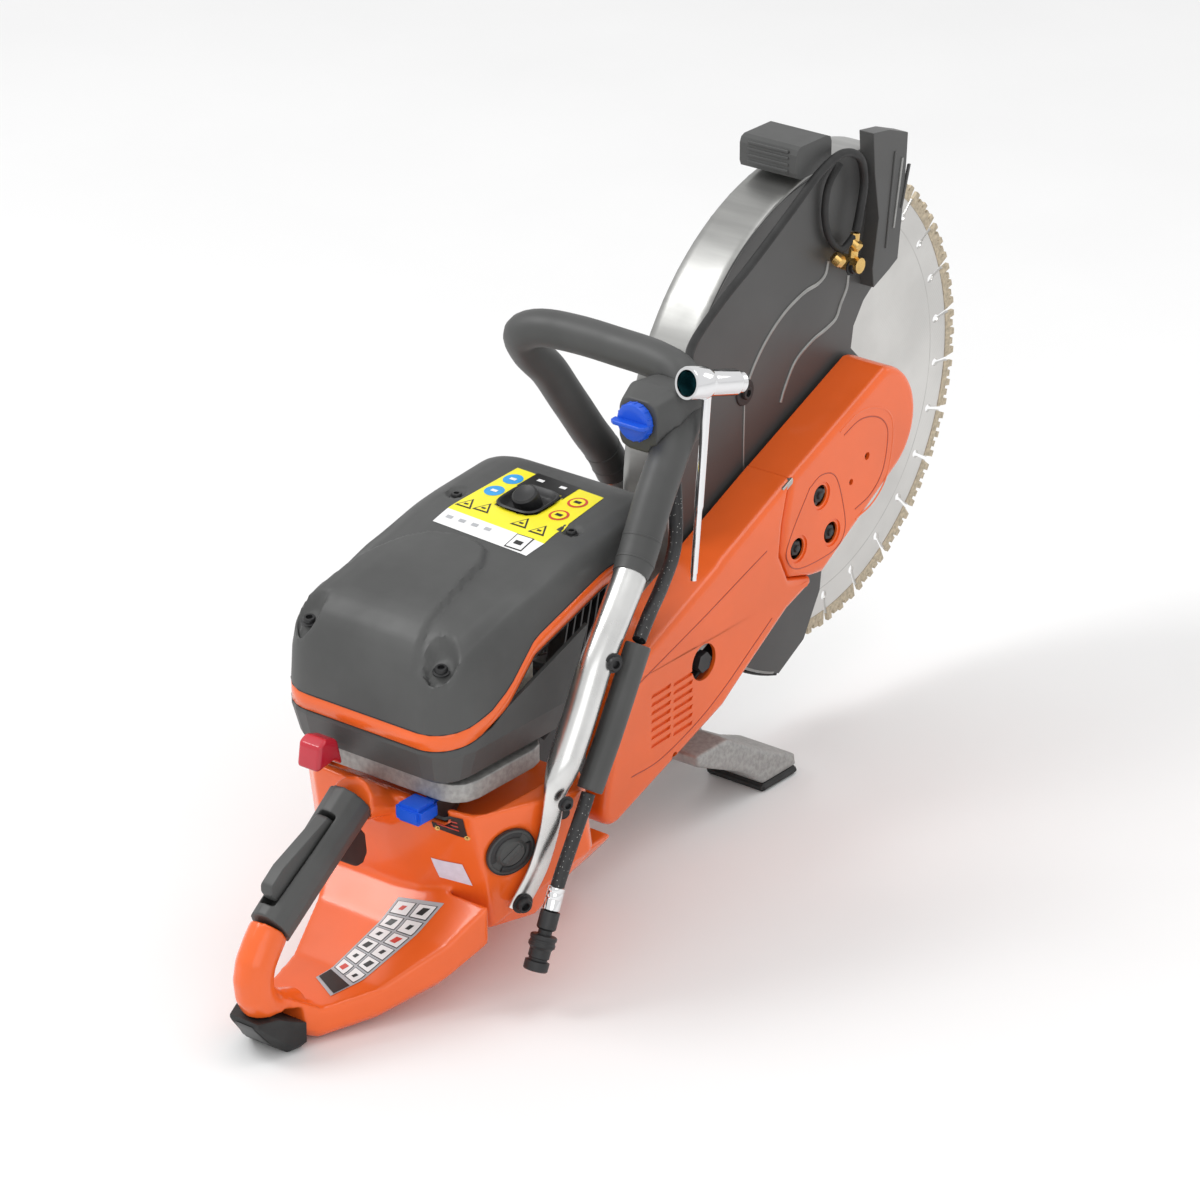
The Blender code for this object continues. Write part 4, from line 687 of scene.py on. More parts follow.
def make_covers():
    joint_rear = [(x - 0.0008, z) for x, z in reversed(COVER_JOINT)]
    rear = arc((-0.339, 0.064), 0.015, 165, 290, 10)
    rear += [(-0.203, 0.097), (-0.174, 0.116), (-0.121, 0.149), (-0.089, 0.16)]
    rear += joint_rear + [(-0.206, 0.2215), (-0.21, 0.218)]
    rear += arc((-0.311, 0.148), 0.024, 110, 170, 8)
    cutters = [cylinder_cut(*hole) for hole in (
        (-0.23, 0.145, 0.015, 0.003), (-0.23, 0.145, 0.0105, 0.016),
        (-0.2656, 0.0787, 0.0034, 0.01))]
    for column in range(2):
        for row in range(7):
            x = -0.296 + column * 0.0275
            z = 0.1385 - row * 0.007
            slot = [(x, z), (x + 0.0235, z + 0.001), (x + 0.025, z + 0.0042),
                    (x + 0.0015, z + 0.0032)]
            cutters.append(cutter(slot, (FACE_Y - 0.01, FACE_Y + 0.0018)))
    # room for the piston's travel
    cutters.append(turned("cutter", [(0, 0.04), (0.0409, 0.04), (0.0409, 0.057), (0, 0.057)],
        CRANK, "orange", UP, 40, ""))
    cover("rear_belt_cover", rear, ("belt_cover_rear",), cutters)

    front = list(COVER_JOINT)[::-1] + [(0.006, 0.312)]
    front += arc((0, ARBOR.z), 0.049, 76, -64, 36) + [(-0.074, 0.164)]
    cutters = []
    for x, z in NUTS:
        cutters += [cylinder_cut(x, z, 0.0115, 0.0012), cylinder_cut(x, z, 0.0088, 0.011)]
    cutters += [cylinder_cut(-0.0179, 0.2455, 0.0032, 0.02),
                cylinder_cut(-0.0391, 0.2304, 0.0026, 0.02)]
    cover("front_belt_cover", front, ("belt_cover_front",), cutters)

    # creases drawn with the default finish are thin lines of painted shade
    def crease(name, points, wide=0.0006, finish="crease_shade"):
        path = smooth_path([(x, FACE_Y, z) for x, z in points], 0.004)
        swept(name, path, (0.00035, wide), finish, 8)

    crease("cover_nose_crease", [
        (-0.0555, 0.2784), (-0.03, 0.287), (-0.0058, 0.2833), (0.012, 0.272), (0.0175, 0.253),
        (0.0104, 0.2205), (-0.008, 0.203), (-0.0324, 0.1963)], 0.001, "orange")
    crease("cover_nose_crease_inner", [
        (-0.05, 0.274), (-0.029, 0.28), (-0.008, 0.276), (0.006, 0.266), (0.01, 0.252),
        (0.004, 0.226), (-0.012, 0.211), (-0.033, 0.205)])
    crease("nut_plate_outline", [
        (-0.095, 0.244), (-0.079, 0.25), (-0.06, 0.242), (-0.048, 0.21), (-0.047, 0.19),
        (-0.062, 0.179), (-0.108, 0.18), (-0.124, 0.195), (-0.118, 0.213), (-0.095, 0.244)],
        0.0005)
    crease("rear_panel_crease", [(-0.315, 0.156), (-0.29, 0.164), (-0.23, 0.183), (-0.18, 0.2),
        (-0.15, 0.21)])
    crease("rear_panel_crease_low", [
        (-0.32, 0.082), (-0.285, 0.083), (-0.24, 0.096), (-0.205, 0.112), (-0.17, 0.133),
        (-0.142, 0.15)])
    clip = prism("cover_clip", [(-0.129, 0.2545), (-0.116, 0.26), (-0.114, 0.256), (-0.127, 0.25)],
        (FACE_Y + 0.001, FACE_Y + 0.03), "steel")
    soften(clip, 0.0008, 3)
    for index, (x, z) in enumerate(NUTS):
        nut = turned(f"flange_nut_{index + 1}", [
            (0, 0.0), (0.0082, 0.0), (0.0082, 0.001), (0.0068, 0.0016), (0.0068, 0.0048),
            (0.006, 0.0056), (0.0034, 0.0056), (0.0034, 0.0072), (0.0026, 0.0078), (0, 0.0078)],
            (x, -0.0612, z), "black", RIGHT, 6, replaces=(f"cover_nut_{index + 1}",))
        soften(nut, 0.0004)
    paint_node("belt_tension_bolt", "black")
    soften(NODES["belt_tension_bolt"], 0.0007)


# -------------------------------------------------------------- filter cover
FLOOR_LINE = ((-0.577, 0.221), (-0.53, 0.229), (-0.509, 0.24), (-0.48, 0.268),
              (-0.4, 0.293), (-0.312, 0.301))
ROOF_LINE = ((-0.577, 0.264), (-0.567, 0.28), (-0.545, 0.293), (-0.5, 0.304),
             (-0.42, 0.318), (-0.34, 0.325), (-0.312, 0.32))
EDGE_SHAPE = ((0.0, 0.0), (0.0015, 0.45), (0.004, 0.68), (0.007, 0.8), (0.012, 0.89),
              (0.018, 0.95), (0.028, 0.985), (0.04, 1.0))
HUMP = [(-0.59, -0.083), (-0.57, -0.0665), (-0.545, -0.06), (-0.5, -0.053), (-0.47, -0.048),
    (-0.456, -0.04), (-0.45, -0.025), (-0.45, -0.005), (-0.456, 0.013), (-0.47, 0.026),
    (-0.5, 0.04), (-0.545, 0.05), (-0.59, 0.056)]
POCKETS = ((-0.559, -0.0835, 0.014), (-0.559, 0.04, 0.013))
RING_STEP = 0.0026                         # spacing of the hood's points along its sides
BUTTON = Vector((-0.3865, -0.0235))        # middle of the decompression button
TOP_SCREWS = ((-0.403, 0.031), (-0.404, -0.078))


def along_table(x, table):
    if x <= table[0][0]:
        return table[0][1]
    for (x0, v0), (x1, v1) in zip(table, table[1:]):
        if x <= x1:
            return v0 + (v1 - v0) * (x - x0) / (x1 - x0)
    return table[-1][1]


def eased(x, table, reach):
    return sum(along_table(x + reach * k, table) for k in (-1, -0.5, 0, 0.5, 1)) / 5


def hump_depth(x, y):
    """Signed distance into the raised middle of the cover."""
    inside, nearest = False, 1.0
    for (x0, y0), (x1, y1) in zip(HUMP, HUMP[1:] + HUMP[:1]):
        if (y0 > y) != (y1 > y) and x < (x1 - x0) * (y - y0) / (y1 - y0) + x0:
            inside = not inside
        along = Vector((x1 - x0, y1 - y0))
        t = max(0.0, min(1.0, (Vector((x - x0, y - y0)).dot(along)) / along.length_squared))
        nearest = min(nearest, (Vector((x0, y0)) + along * t - Vector((x, y))).length)
    return nearest if inside else -nearest


def step_at(value, low, high):
    t = max(0.0, min(1.0, (value - low) / (high - low)))
    return t * t * (3 - 2 * t)


def cover_height(x, y, inset):
    floor = eased(x, FLOOR_LINE, 0.004) if inset > 0.001 else along_table(x, FLOOR_LINE)
    roof = eased(x, ROOF_LINE, 0.008)
    z = floor + (roof - floor) * along_table(inset, EDGE_SHAPE)
    fade, rearward, depth = step_at(inset, 0.002, 0.012), step_at(-x, 0.42, 0.47), hump_depth(x, y)
    z -= 0.0035 * (1 - step_at(depth, -0.0025, 0.0015)) * fade * rearward
    z += 0.001 * step_at(depth, -0.001, 0.002) * fade * rearward
    for px, py, radius in POCKETS:
        near = math.hypot(x - px, y - py)
        z -= 0.012 * (1 - step_at(near, radius * 0.55, radius)) * step_at(inset, 0.003, 0.008)
    for px, py in TOP_SCREWS:
        near = math.hypot(x - px, y - py)
        z -= 0.003 * (1 - step_at(near, 0.006, 0.0085)) * step_at(inset, 0.003, 0.006)
    off_x, off_y = x - BUTTON.x, y - BUTTON.y
    near = max(abs(off_x), abs(off_y)) * 0.65 + math.hypot(off_x, off_y) * 0.35
    z -= 0.0045 * (1 - step_at(near, 0.015, 0.0195))
    return z


def plan_ring(inset):
    """Rounded rectangle points; the count doesn't depend on the inset."""
    low = Vector((-0.577 + inset, -0.105 + inset))
    high = Vector((-0.312 - inset, 0.06 - inset))
    radius = max(0.03 - inset, 0.004)
    corners = [((high.x - radius, low.y + radius), -90), ((high.x - radius, high.y - radius), 0),
               ((low.x + radius, high.y - radius), 90), ((low.x + radius, low.y + radius), 180)]
    points = []
    sides = (round(0.105 / RING_STEP), round(0.205 / RING_STEP)) * 2
    for index, (centre, start) in enumerate(corners):
        bend = arc(centre, radius, start, start + 90, 14)
        points += bend
        after = corners[(index + 1) % 4]
        target = arc(after[0], radius, after[1], after[1] + 90, 14)[0]
        count = sides[index]
        for k in range(1, count):
            t = k / count
            points.append((bend[-1][0] + (target[0] - bend[-1][0]) * t,
                           bend[-1][1] + (target[1] - bend[-1][1]) * t))
    return points


def make_filter_cover():
    insets = [0.0, 0.0004, 0.0015, 0.0027, 0.004, 0.0055, 0.007, 0.009]
    inset = 0.011
    while inset < 0.076:
        insets.append(inset)
        inset += 0.0024
    rows = [[(x, y, cover_height(x, y, k)) for x, y in plan_ring(k)] for k in insets]
    ends = [p[0] for p in plan_ring(insets[-1])]
    low, high = min(ends) + 0.006, max(ends) - 0.006
    spine = [min(max(x, low), high) for x in ends]
    rows.append([(x, -0.0225, cover_height(x, -0.0225, 0.078)) for x in spine])
    skin = [(x, y, along_table(x, FLOOR_LINE)) for x, y in plan_ring(0.003)]
    top = stacked("filter_hood", [skin] + rows, "plastic", replaces=("filter_cover",),
        cap_low=False, cap_high=False)
    work = bmesh.new()
    work.from_mesh(top.data)
    bmesh.ops.remove_doubles(work, verts=work.verts, dist=0.00002)
    bmesh.ops.recalc_face_normals(work, faces=work.faces)
    work.to_mesh(top.data)
    work.free()
    tree = surface_of(top)
    down = (0, 0, -1)

    # the printed label in front of the hump, made of generic pictograms
    def printed(name, corners, finish, lift, **options):
        decal(name, [(x, y, 0.32) for x, y in corners], tree, down, finish, lift, **options)

    def mark(name, x, y, shape, size, finish, lift=0.0005):
        printed(name, [(x - size, y - size), (x + size, y - size), (x + size, y + size),
                       (x - size, y + size)], finish, lift, shape=shape)

    printed("label_yellow", [(-0.4255, 0.0205), (-0.349, 0.0165), (-0.353, -0.068),
        (-0.43, -0.0735)], "print_yellow", 0.0003, grid=(24, 26))
    printed("label_white", [(-0.443, 0.0205), (-0.4255, 0.0205), (-0.43, -0.0735),
        (-0.447, -0.0705)], "print_white", 0.0003, grid=(8, 26))

    disc = circle((0.5, 0.5), 0.5, 24)
    triangle = [(1.0, 0.5), (0.13, 0.98), (0.13, 0.02)]
    square = [(0.0, 0.0), (1.0, 0.0), (1.0, 1.0), (0.0, 1.0)]
    bar = [(0.3, 0.15), (0.7, 0.15), (0.7, 0.85), (0.3, 0.85)]
    printed("label_black", [(-0.372, -0.001), (-0.348, -0.002), (-0.35, -0.044), (-0.372, -0.044)],
        "print_black", 0.0005, grid=(8, 12))
    for index, y in enumerate((-0.012, -0.033)):
        mark(f"label_glyph_{index + 1}", -0.357, y, bar, 0.0042, "print_white", 0.0007)
    for index, (x, y) in enumerate(((-0.3656, 0.0074), (-0.3873, 0.0077))):
        mark(f"label_disc_{index + 1}", x, y, disc, 0.0078, "print_blue")
        mark(f"label_disc_mark_{index + 1}", x, y, bar, 0.004, "print_white", 0.0007)
    for index, (x, y) in enumerate(((-0.3697, -0.0567), (-0.3924, -0.0573))):
        mark(f"label_ring_{index + 1}", x, y, disc, 0.0078, "print_red")
        mark(f"label_ring_field_{index + 1}", x, y, disc, 0.0058, "print_yellow", 0.0007)
        mark(f"label_ring_mark_{index + 1}", x, y, bar, 0.0042, "print_black", 0.0009)
    for index, (x, y) in enumerate(((-0.4135, 0.0118), (-0.412, -0.0034), (-0.4155, -0.0418),
            (-0.4175, -0.06))):
        mark(f"label_sign_{index + 1}", x, y, triangle, 0.0078, "print_black")
        mark(f"label_sign_field_{index + 1}", x - 0.0004, y, triangle, 0.0055, "print_yellow",
             0.0007)
        mark(f"label_sign_mark_{index + 1}", x - 0.0014, y, bar, 0.0026, "print_black", 0.0009)
    for index, y in enumerate((0.012, 0.0, -0.012, -0.024)):
        mark(f"label_strip_mark_{index + 1}", -0.434, y, bar, 0.004, "print_grey")
    mark("label_box", -0.437, -0.056, square, 0.008, "print_black")
    mark("label_box_field", -0.437, -0.056, square, 0.007, "print_white", 0.0007)
    mark("label_box_mark", -0.438, -0.056, bar, 0.005, "print_black", 0.0009)

    # the well round the decompression button, a superellipse that follows the hood's slope
    squareness = 0.55
    rows = []
    for half, z in ((0.02, 0.3228), (0.019, 0.3238), (0.0176, 0.3232), (0.016, 0.3196),
                    (0.0146, 0.318), (0.0124, 0.3178)):
        ring = []
        for k in range(48):
            turn = math.tau * k / 48
            c, s = math.cos(turn), math.sin(turn)
            x = math.copysign(abs(c) ** squareness, c) * half
            y = math.copysign(abs(s) ** squareness, s) * half
            ring.append((BUTTON.x + x, BUTTON.y + y, z + 0.0016 * (x / 0.02)))
        rows.append(ring)
    stacked("button_well", rows, "black", cap_low=False)
    foot = CRANK + ACROSS * -0.004 + Vector((0.0, -0.0235, 0.0))
    turned("decompression_button", [
        (0, 0.1475), (0.0065, 0.1475), (0.0065, 0.185), (0.0048, 0.186), (0.0048, 0.206),
        (0.01, 0.2075), (0.0104, 0.212), (0.0104, 0.2215), (0.0098, 0.2245), (0.0082, 0.2258),
        (0.005, 0.225), (0, 0.2244)], foot, "black", UP, 36, "decompression_valve",
        replaces=("decompression_valve",))
    for index, (x, y) in enumerate(TOP_SCREWS):
        z = cover_height(x, y, 0.02)
        screw(f"hood_screw_{index + 1}", (x, y, z + 0.0004), (0, 0, 1), 0.004)
    for index, (x, y, _) in enumerate(POCKETS):
        spot = tree.ray_cast(Vector((x, y, 0.4)) + ORIGIN, Vector((0, 0, -1)))[0] - ORIGIN
        screw(f"pocket_screw_{index + 1}", spot + Vector((0, 0, 0.0006)), (-0.2, -0.1, 1), 0.0048)

    # the orange stripe and the lower box
    rows = []
    for inset, drop in ((0.003, 0.0003), (0.0006, 0.0004), (0.0, 0.001), (0.0, 0.0128),
                        (0.0006, 0.0133), (0.003, 0.0135)):
        rows.append([(x, y, along_table(x, FLOOR_LINE) - drop) for x, y in plan_ring(inset)])
    stacked("orange_stripe", rows, "orange", ("trim_band",), False, False, 60)
    for index, drop in enumerate((0.0001, 0.0136)):
        line = [(x, y, along_table(x, FLOOR_LINE) - drop) for x, y in plan_ring(0.0001)]
        path = [Vector(p) for p in line[::3]]
        path.append(path[0])
        swept(f"stripe_edge_line_{index + 1}", path, 0.0005, "black", 6)
    paint_node("air_box", "plastic")
    soften(NODES["air_box"], 0.0012, 3, 30)


# ------------------------------------------------------------- simple nodes
def paint_node(name, finish):
    obj = NODES[name]
    for slot_at in obj.material_slots:
        slot_at.link = "OBJECT"
        slot_at.material = material(finish)
    if not obj.material_slots:
        obj.data.materials.append(material(finish))


def weld_and_round(name, finish, voxel=None, width=0.001, smooth_steps=6):
    obj = NODES[name]
    paint_node(name, finish)
    if voxel:
        remesh = obj.modifiers.new("skin", "REMESH")
        remesh.mode = "VOXEL"
        remesh.voxel_size = voxel
        remesh.use_smooth_shade = True
        relax = obj.modifiers.new("relax", "SMOOTH")
        relax.factor = 0.5
        relax.iterations = smooth_steps
    else:
        weld = obj.modifiers.new("weld", "WELD")
        weld.merge_threshold = 0.00005
        soften(obj, width, 2, 30)


def make_plain_nodes():
    finishes = {
        "steel": "arbor_bolt arbor_shaft inner_flange outer_flange clutch_drum_pulley clutch_hub "
                 "connecting_rod crankshaft driven_pulley muffler",
        "aluminium": "carburettor cylinder flywheel piston front_handle",
        "chrome": "arbor_bearing spark_plug",
        "rubber": "drive_belt foot_pad_left foot_pad_right mud_flap rear_bumper",
        "plastic": "starter_handle throttle_lockout front_handle_sleeve",
        "black": "starter_pulley throttle_trigger", "brass": "nozzle_fitting",
        "orange": "starter_cover", "foam": "air_filter", "cast": "intake_plate",
        "red": "stop_switch", "blue": "choke_lever",
    }
    thin = {"arbor_bearing", "clutch_hub", "connecting_rod", "cylinder", "front_handle_sleeve"}
    wide = {"stop_switch": 0.003, "choke_lever": 0.0022, "throttle_lockout": 0.002,
            "throttle_trigger": 0.0022, "starter_handle": 0.0016, "muffler": 0.0016}
    for name, finish in ((n, f) for f, names in finishes.items() for n in names.split()):
        weld_and_round(name, finish, width=0.0004 if name in thin else wide.get(name, 0.001))
        if name in wide:
            NODES[name].modifiers["edge"].segments = 4
    weld_and_round("rear_housing", "orange", 0.0016, smooth_steps=14)
    weld_and_round("crankcase", "cast", 0.002)
    weld_and_round("cutting_arm", "cast")
    weld_and_round("foot_bracket", "cast", 0.0016, smooth_steps=8)
    weld_and_round("hose_guide", "plastic", 0.0011, smooth_steps=8)
    weld_and_round("valve_housing", "plastic", 0.0012, smooth_steps=10)
    weld_and_round("rear_grip", "plastic", 0.001)


# ------------------------------------------------------- handle, tank, hoses
HANDLE_PATH = [
    (-0.5158, -0.1157, 0.0674), (-0.5044, -0.1249, 0.0959), (-0.4998, -0.1322, 0.1262),
    (-0.499, -0.1362, 0.15), (-0.4965, -0.1375, 0.166), (-0.472, -0.1375, 0.2073),
    (-0.446, -0.135, 0.2475), (-0.42, -0.1315, 0.2735), (-0.388, -0.124, 0.3),
    (-0.356, -0.116, 0.336), (-0.318, -0.106, 0.368), (-0.292, -0.098, 0.385),
    (-0.282, -0.084, 0.402), (-0.28, -0.06, 0.408), (-0.279, -0.025, 0.409),
    (-0.282, 0.012, 0.411), (-0.286, 0.043, 0.41), (-0.286, 0.062, 0.401),
    (-0.27, 0.068, 0.38), (-0.248, 0.068, 0.358), (-0.23, 0.067, 0.333),
    (-0.2, 0.066, 0.292), (-0.172, 0.066, 0.252), (-0.168, 0.065, 0.2),
    (-0.205, 0.06, 0.115),
]
HOSE_UPPER = [
    (-0.312, -0.1, 0.348), (-0.316, -0.106, 0.32), (-0.33, -0.116, 0.29),
    (-0.36, -0.128, 0.274), (-0.39, -0.139, 0.264), (-0.41, -0.145, 0.252),
]


def make_handle():
    fine = smooth_path(smooth_path(HANDLE_PATH, 0.03), 0.006)
    sizes = []
    for point in fine:
        flat = step_at(-point.z, -0.185, -0.15) if point.x < -0.45 else 0.0
        sizes.append((0.0125 * (1 - 0.74 * flat), 0.0125 * (1 - 0.32 * flat)))
    swept("handle_bar", fine, sizes, "aluminium", 28, first=-PANEL_OUT, replaces=("front_handle",))
    covered = [p for p in fine
               if not (p.y < -0.1 and p.z < 0.292) and not (p.y > 0.04 and p.z < 0.242)]
    count = len(covered)
    girth = [0.0146 - 0.0012 * max(0.0, 1 - min(i, count - 1 - i) / 2) for i in range(count)]
    swept("handle_sleeve", covered, [(g, g) for g in girth], "plastic", 28, first=-PANEL_OUT,
          replaces=("front_handle_sleeve",))
    for index, place in enumerate((2, 5, count - 6, count - 3)):
        point = covered[place]
        along = (covered[place + 1] - covered[place - 1]).normalized()
        turned(f"sleeve_ring_{index + 1}", [(0.014, -0.0012), (0.0149, -0.0006), (0.0149, 0.0006),
            (0.014, 0.0012)], point, "plastic", along, 28)
    path = smooth_path(HOSE_UPPER, 0.005)
    swept("valve_hose", path, 0.00525, "hose", 18, replaces=("water_hose",))
    screw("handle_mount_screw", (-0.4445, -0.1485, 0.2475), (-0.35, -0.9, 0.1), 0.0055)
    screw("leg_foot_bolt", Vector((-0.5145, -0.118, 0.0735)) + PANEL_OUT * 0.0034, PANEL_OUT,
          0.006)
    screw("leg_mid_bolt", (-0.499, -0.148, 0.156), PANEL_OUT, 0.0045)


def make_valve_knob():
    axis = Vector((-1, 0, 0))
    foot = Vector((-0.3383, -0.088, 0.386))
    turned("knob_disc", [
        (0, 0.0), (0.0138, 0.0), (0.0145, 0.0008), (0.0145, 0.0058), (0.0138, 0.007),
        (0.011, 0.0076), (0.009, 0.0072), (0, 0.007)], foot, "blue", axis, 40, "water_valve",
        replaces=("valve_knob",))
    for k in range(16):
        turn = math.tau * k / 16
        spot = foot + axis * 0.0034 + Vector((0, math.cos(turn), math.sin(turn))) * 0.0143
        turned(f"knob_rib_{k + 1}", [(0, -0.0024), (0.0009, -0.0022), (0.0009, 0.0022),
            (0, 0.0024)], spot, "blue", axis, 8, "water_valve")
    verts = []
    outline = [(-0.016, 0.0), (-0.0155, 0.006), (-0.012, 0.0082), (0.012, 0.0082),
               (0.0155, 0.006), (0.016, 0.0)]
    for z in (-0.0018, 0.0018):
        for y, out in outline:
            verts.append(foot + axis * (0.0065 + out) + Vector((0, y, z)))
    n = len(outline)
    faces = [tuple(range(n)), tuple(range(n, 2 * n))]
    faces += [(i, (i + 1) % n, n + (i + 1) % n, n + i) for i in range(n)]
    wing = add("knob_wing", verts, faces, "blue", "water_valve")
    soften(wing, 0.001, 3)
    turned("valve_inlet", [
        (0, 0), (0.005, 0), (0.005, 0.006), (0.004, 0.0068), (0.004, 0.012), (0, 0.012)],
        (-0.316, -0.104, 0.356), "chrome", (0.05, -0.15, -1), 20)


def make_wrench():
    axis = Vector((0.957, -0.159, -0.244)).normalized()
    opening = Vector((-0.3195, -0.118, 0.4165))
    middle = opening + axis * 0.022
    tip = Vector((-0.32, -0.126, 0.262))
    turned("wrench_barrel", [
        (0.01, 0.0), (0.012, 0.0), (0.0125, 0.0008), (0.0125, 0.0165), (0.0118, 0.019),
        (0.0102, 0.0215), (0.01, 0.023), (0.01, 0.049), (0.0094, 0.0505), (0.008, 0.0515),
        (0.008, 0.0564), (0.0074, 0.057), (0, 0.057)], opening, "chrome", axis, 40, "wrench",
        replaces=("wrench",))
    turned("wrench_hex_mouth", [(0.01, 0.0003), (0.0098, 0.002), (0.0096, 0.013), (0.009, 0.014),
        (0, 0.014)], opening, "teal", axis, 6, "wrench")
    down = (tip - middle).normalized()
    reach = (tip - middle).length
    step = reach * 0.62
    turned("wrench_shaft", [
        (0, 0.004), (0.0034, 0.004), (0.0034, step), (0.003, step + 0.002),
        (0.0027, step + 0.004), (0.0027, reach - 0.006), (0.0022, reach - 0.005),
        (0.0022, reach), (0, reach)], middle, "chrome", down, 20, "wrench")


def make_tank_details():
    tree = surface_of(NODES["rear_housing"])
    down = (0.15, 0.1, -1)
    quad = [(-0.5575, -0.0385, 0.058), (-0.55, -0.076, 0.052), (-0.645, -0.048, 0.012),
            (-0.633, -0.0235, 0.016)]
    decal("tray_label", quad, tree, down, "print_grey", 0.0005, grid=(10, 24))
    for row in range(6):
        for column in range(2):
            u0, u1 = 0.05 + 0.47 * column, 0.47 + 0.47 * column
            v0, v1 = 0.03 + 0.13 * row, 0.145 + 0.13 * row
            cell = [across(quad, u, v) for u, v in ((u0, v0), (u1, v0), (u1, v1), (u0, v1))]
            middle = sum(cell, Vector()) / 4
            key = f"{row + 1}_{column + 1}"
            decal("tray_cell_" + key, cell, tree, down, "print_black", 0.0007, grid=(3, 3))
            inner = [p.lerp(middle, 0.1) for p in cell]
            decal("tray_field_" + key, inner, tree, down, "print_white", 0.0009, grid=(3, 3))
            size = 0.5 if (row + column) % 2 else 0.34
            glyph = [middle + (p - middle) * size for p in cell]
            tilt = [glyph[0].lerp(glyph[1], 0.25), glyph[1], glyph[2].lerp(glyph[3], 0.25),
                    glyph[3]]
            decal("tray_glyph_" + key, tilt, tree, down,
                  "print_black" if (row * 2 + column) % 5 else "print_red", 0.0011, grid=(2, 2))
    strip = [across(quad, u, v) for u, v in
             ((0.03, 0.83), (0.97, 0.83), (0.97, 0.97), (0.03, 0.97))]
    decal("tray_label_foot", strip, tree, down, "print_black", 0.0008, grid=(6, 3))
    rear_in = Vector((0.85, 0.45, -0.1))
    plate = [Vector((-0.56, y, z)) for y, z in ((-0.0693, 0.1488), (-0.1008, 0.1511),
        (-0.1044, 0.1345), (-0.0731, 0.1364))]
    decal("rating_plate", plate, tree, rear_in, "print_black", 0.0006, grid=(8, 6))
    mid = sum(plate, Vector()) / 4
    for index, side in enumerate((0.08, 0.92)):
        spot = plate[3].lerp(plate[2], side) + (mid - plate[3]) * 0.12
        hit = tree.ray_cast(spot + ORIGIN - rear_in.normalized() * CAST_FROM, rear_in.normalized(),
            CAST_REACH)[0]
        if hit is not None:
            screw(f"plate_rivet_{index + 1}", hit - ORIGIN, -rear_in, 0.0018, "brass")
    for row in range(3):
        line = [across((plate[0], plate[3], plate[2], plate[1]), 0.25 + 0.2 * row + k, u)
                for u, k in ((0.15, 0), (0.8, 0), (0.8, 0.06), (0.15, 0.06))]
        decal(f"plate_line_{row + 1}", line, tree, rear_in, "print_red", 0.0009, grid=(3, 2))
    sticker = [(-0.553, -0.0657, 0.1081), (-0.553, -0.0933, 0.1085), (-0.553, -0.1009, 0.0904),
               (-0.553, -0.0723, 0.0922)]
    decal("small_sticker", sticker, tree, rear_in, "lilac", 0.0006, grid=(6, 5))

    cap = Vector((-0.5225, -0.1152, 0.1165))
    turned("tank_cap", [
        (0, -0.02), (0.0155, -0.02), (0.0155, -0.0014), (0.0192, -0.0012), (0.0196, -0.0006),
        (0.0196, 0.0006), (0.0188, 0.0012), (0.0168, 0.0013), (0.016, 0.0006), (0.012, 0.0006),
        (0.011, 0.0014), (0.01, 0.003), (0.0086, 0.0034), (0, 0.0034)], cap, "plastic",
        PANEL_OUT, 48, "fuel_cap", replaces=("fuel_cap",))
    side = PANEL_OUT.orthogonal().normalized()
    other = PANEL_OUT.cross(side)
    turned("tank_cap_ring", [(0.0186, 0.001), (0.0189, 0.0016), (0.0196, 0.0014), (0.0197, 0.0006)],
           cap, "black", PANEL_OUT, 48, "fuel_cap")
    for index, sign in enumerate((1, -1)):
        points = []
        for k in range(13):
            turn = math.radians(20 + 140 * k / 12) * sign
            points.append(cap + PANEL_OUT * 0.001 + (side * math.cos(turn) + other
                * math.sin(turn)) * 0.0148)
        swept(f"tank_cap_recess_{index + 1}", points, (0.001, 0.0024), "black", 10, "fuel_cap",
              PANEL_OUT)
    bridge = [cap + PANEL_OUT * 0.0036 + side * s for s in (-0.0085, 0.0, 0.0085)]
    swept("tank_cap_bridge", bridge, (0.0012, 0.003), "plastic", 10, "fuel_cap", PANEL_OUT)
    hole_hit = tree.ray_cast(Vector((-0.483, -0.2, 0.137)) + ORIGIN, Vector((0, 1, 0)), 0.2)[0]
    if hole_hit is not None:
        turned("tank_side_hole", [(0, 0.0004), (0.0036, 0.0004), (0.004, 0.0008),
            (0.0046, 0.0002)], hole_hit - ORIGIN, "black", PANEL_OUT, 24)
    # the bumper's glossy inset
    bumper_tree = surface_of(NODES["rear_bumper"])
    pad = [(-0.73, -0.04, 0.0105), (-0.73, -0.014, 0.0105), (-0.73, -0.019, 0.029),
           (-0.73, -0.035, 0.029)]
    decal("bumper_inset", pad, bumper_tree, (1, 0, 0), "print_black", 0.0006, grid=(6, 6))


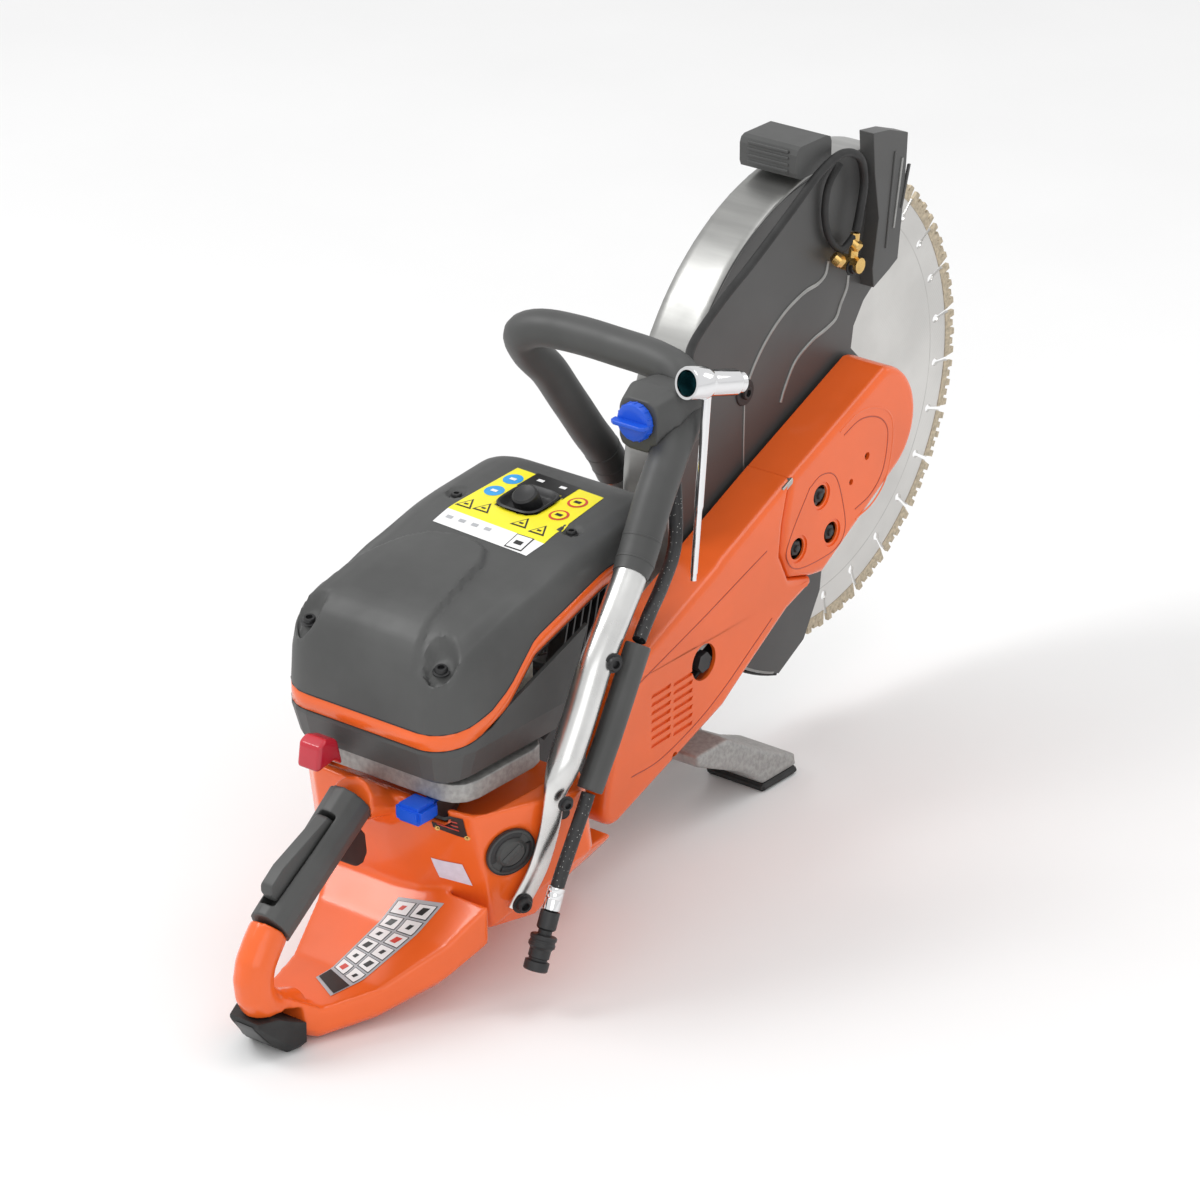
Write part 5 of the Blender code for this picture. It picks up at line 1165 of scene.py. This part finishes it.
def make_engine_dressing():
    """Ribs, leads, the left shroud and the web between tank and engine."""
    for index in range(7):
        x = -0.4 + index * 0.0085
        fin = prism(f"baffle_rib_{index + 1}", [(x, 0.19), (x + 0.0022, 0.19), (x + 0.019, 0.256),
            (x + 0.0168, 0.256)], (-0.062, -0.048), "black")
        soften(fin, 0.0004)
    panel = prism("cylinder_side_shroud", [
        (-0.438, 0.172), (-0.33, 0.196), (-0.215, 0.196), (-0.206, 0.215),
        (-0.225, 0.252), (-0.3, 0.283), (-0.392, 0.283)], (0.0465, 0.0535), "plastic")
    carve(panel, [
        cutter([(x, 0.208), (x + 0.005, 0.208), (x + 0.015, 0.252), (x + 0.01, 0.252)],
        (0.04, 0.06), "plastic") for x in (-0.35, -0.334, -0.318, -0.302, -0.286)])
    soften(panel, 0.0016, 3)
    web = prism("engine_mount_web", [
        (-0.423, 0.068), (-0.362, 0.068), (-0.362, 0.124), (-0.348, 0.148),
        (-0.356, 0.17), (-0.423, 0.156)], (-0.06, 0.042), "black")
    soften(web, 0.003, 3)
    lead = smooth_path([
        (-0.352, 0.013, 0.3), (-0.34, -0.01, 0.295), (-0.323, -0.035, 0.27),
        (-0.33, -0.042, 0.236), (-0.36, -0.03, 0.205)], 0.006)
    swept("ignition_lead", lead, 0.0032, "rubber", 12)
    fuel = smooth_path([
        (-0.43, -0.07, 0.158), (-0.41, -0.076, 0.18), (-0.406, -0.07, 0.2), (-0.418, -0.05, 0.208),
        (-0.425, -0.026, 0.21)], 0.006)
    swept("fuel_line", fuel, 0.003, "rubber", 12)


def make_hose_finish():
    """Black braided hose with a sparse light trace."""
    hose = Shader("braided_hose", (0.018, 0.018, 0.019), 0.45)
    speck = hose.nodes.new("ShaderNodeTexVoronoi")
    speck.inputs["Scale"].default_value = 420
    hose.links.new(hose.where, speck.inputs["Vector"])
    colour = hose.ramp(speck.outputs["Distance"], (0.5, 0.5, 0.48), (0.018, 0.018, 0.019), 0.1,
        0.16)
    hose.links.new(colour, hose.main.inputs["Base Color"])
    hose.rough(200, 0.35, 0.6).bump(900, 0.5, 0.0004)
    MATERIALS["hose"] = hose
    SLOTS["hose"] = "rubber"


make_hose_finish()
make_stage()
make_tail_hose()
make_blade()
make_guard()
make_covers()
make_filter_cover()
make_plain_nodes()
make_handle()
make_valve_knob()
make_wrench()
make_tank_details()
make_engine_dressing()
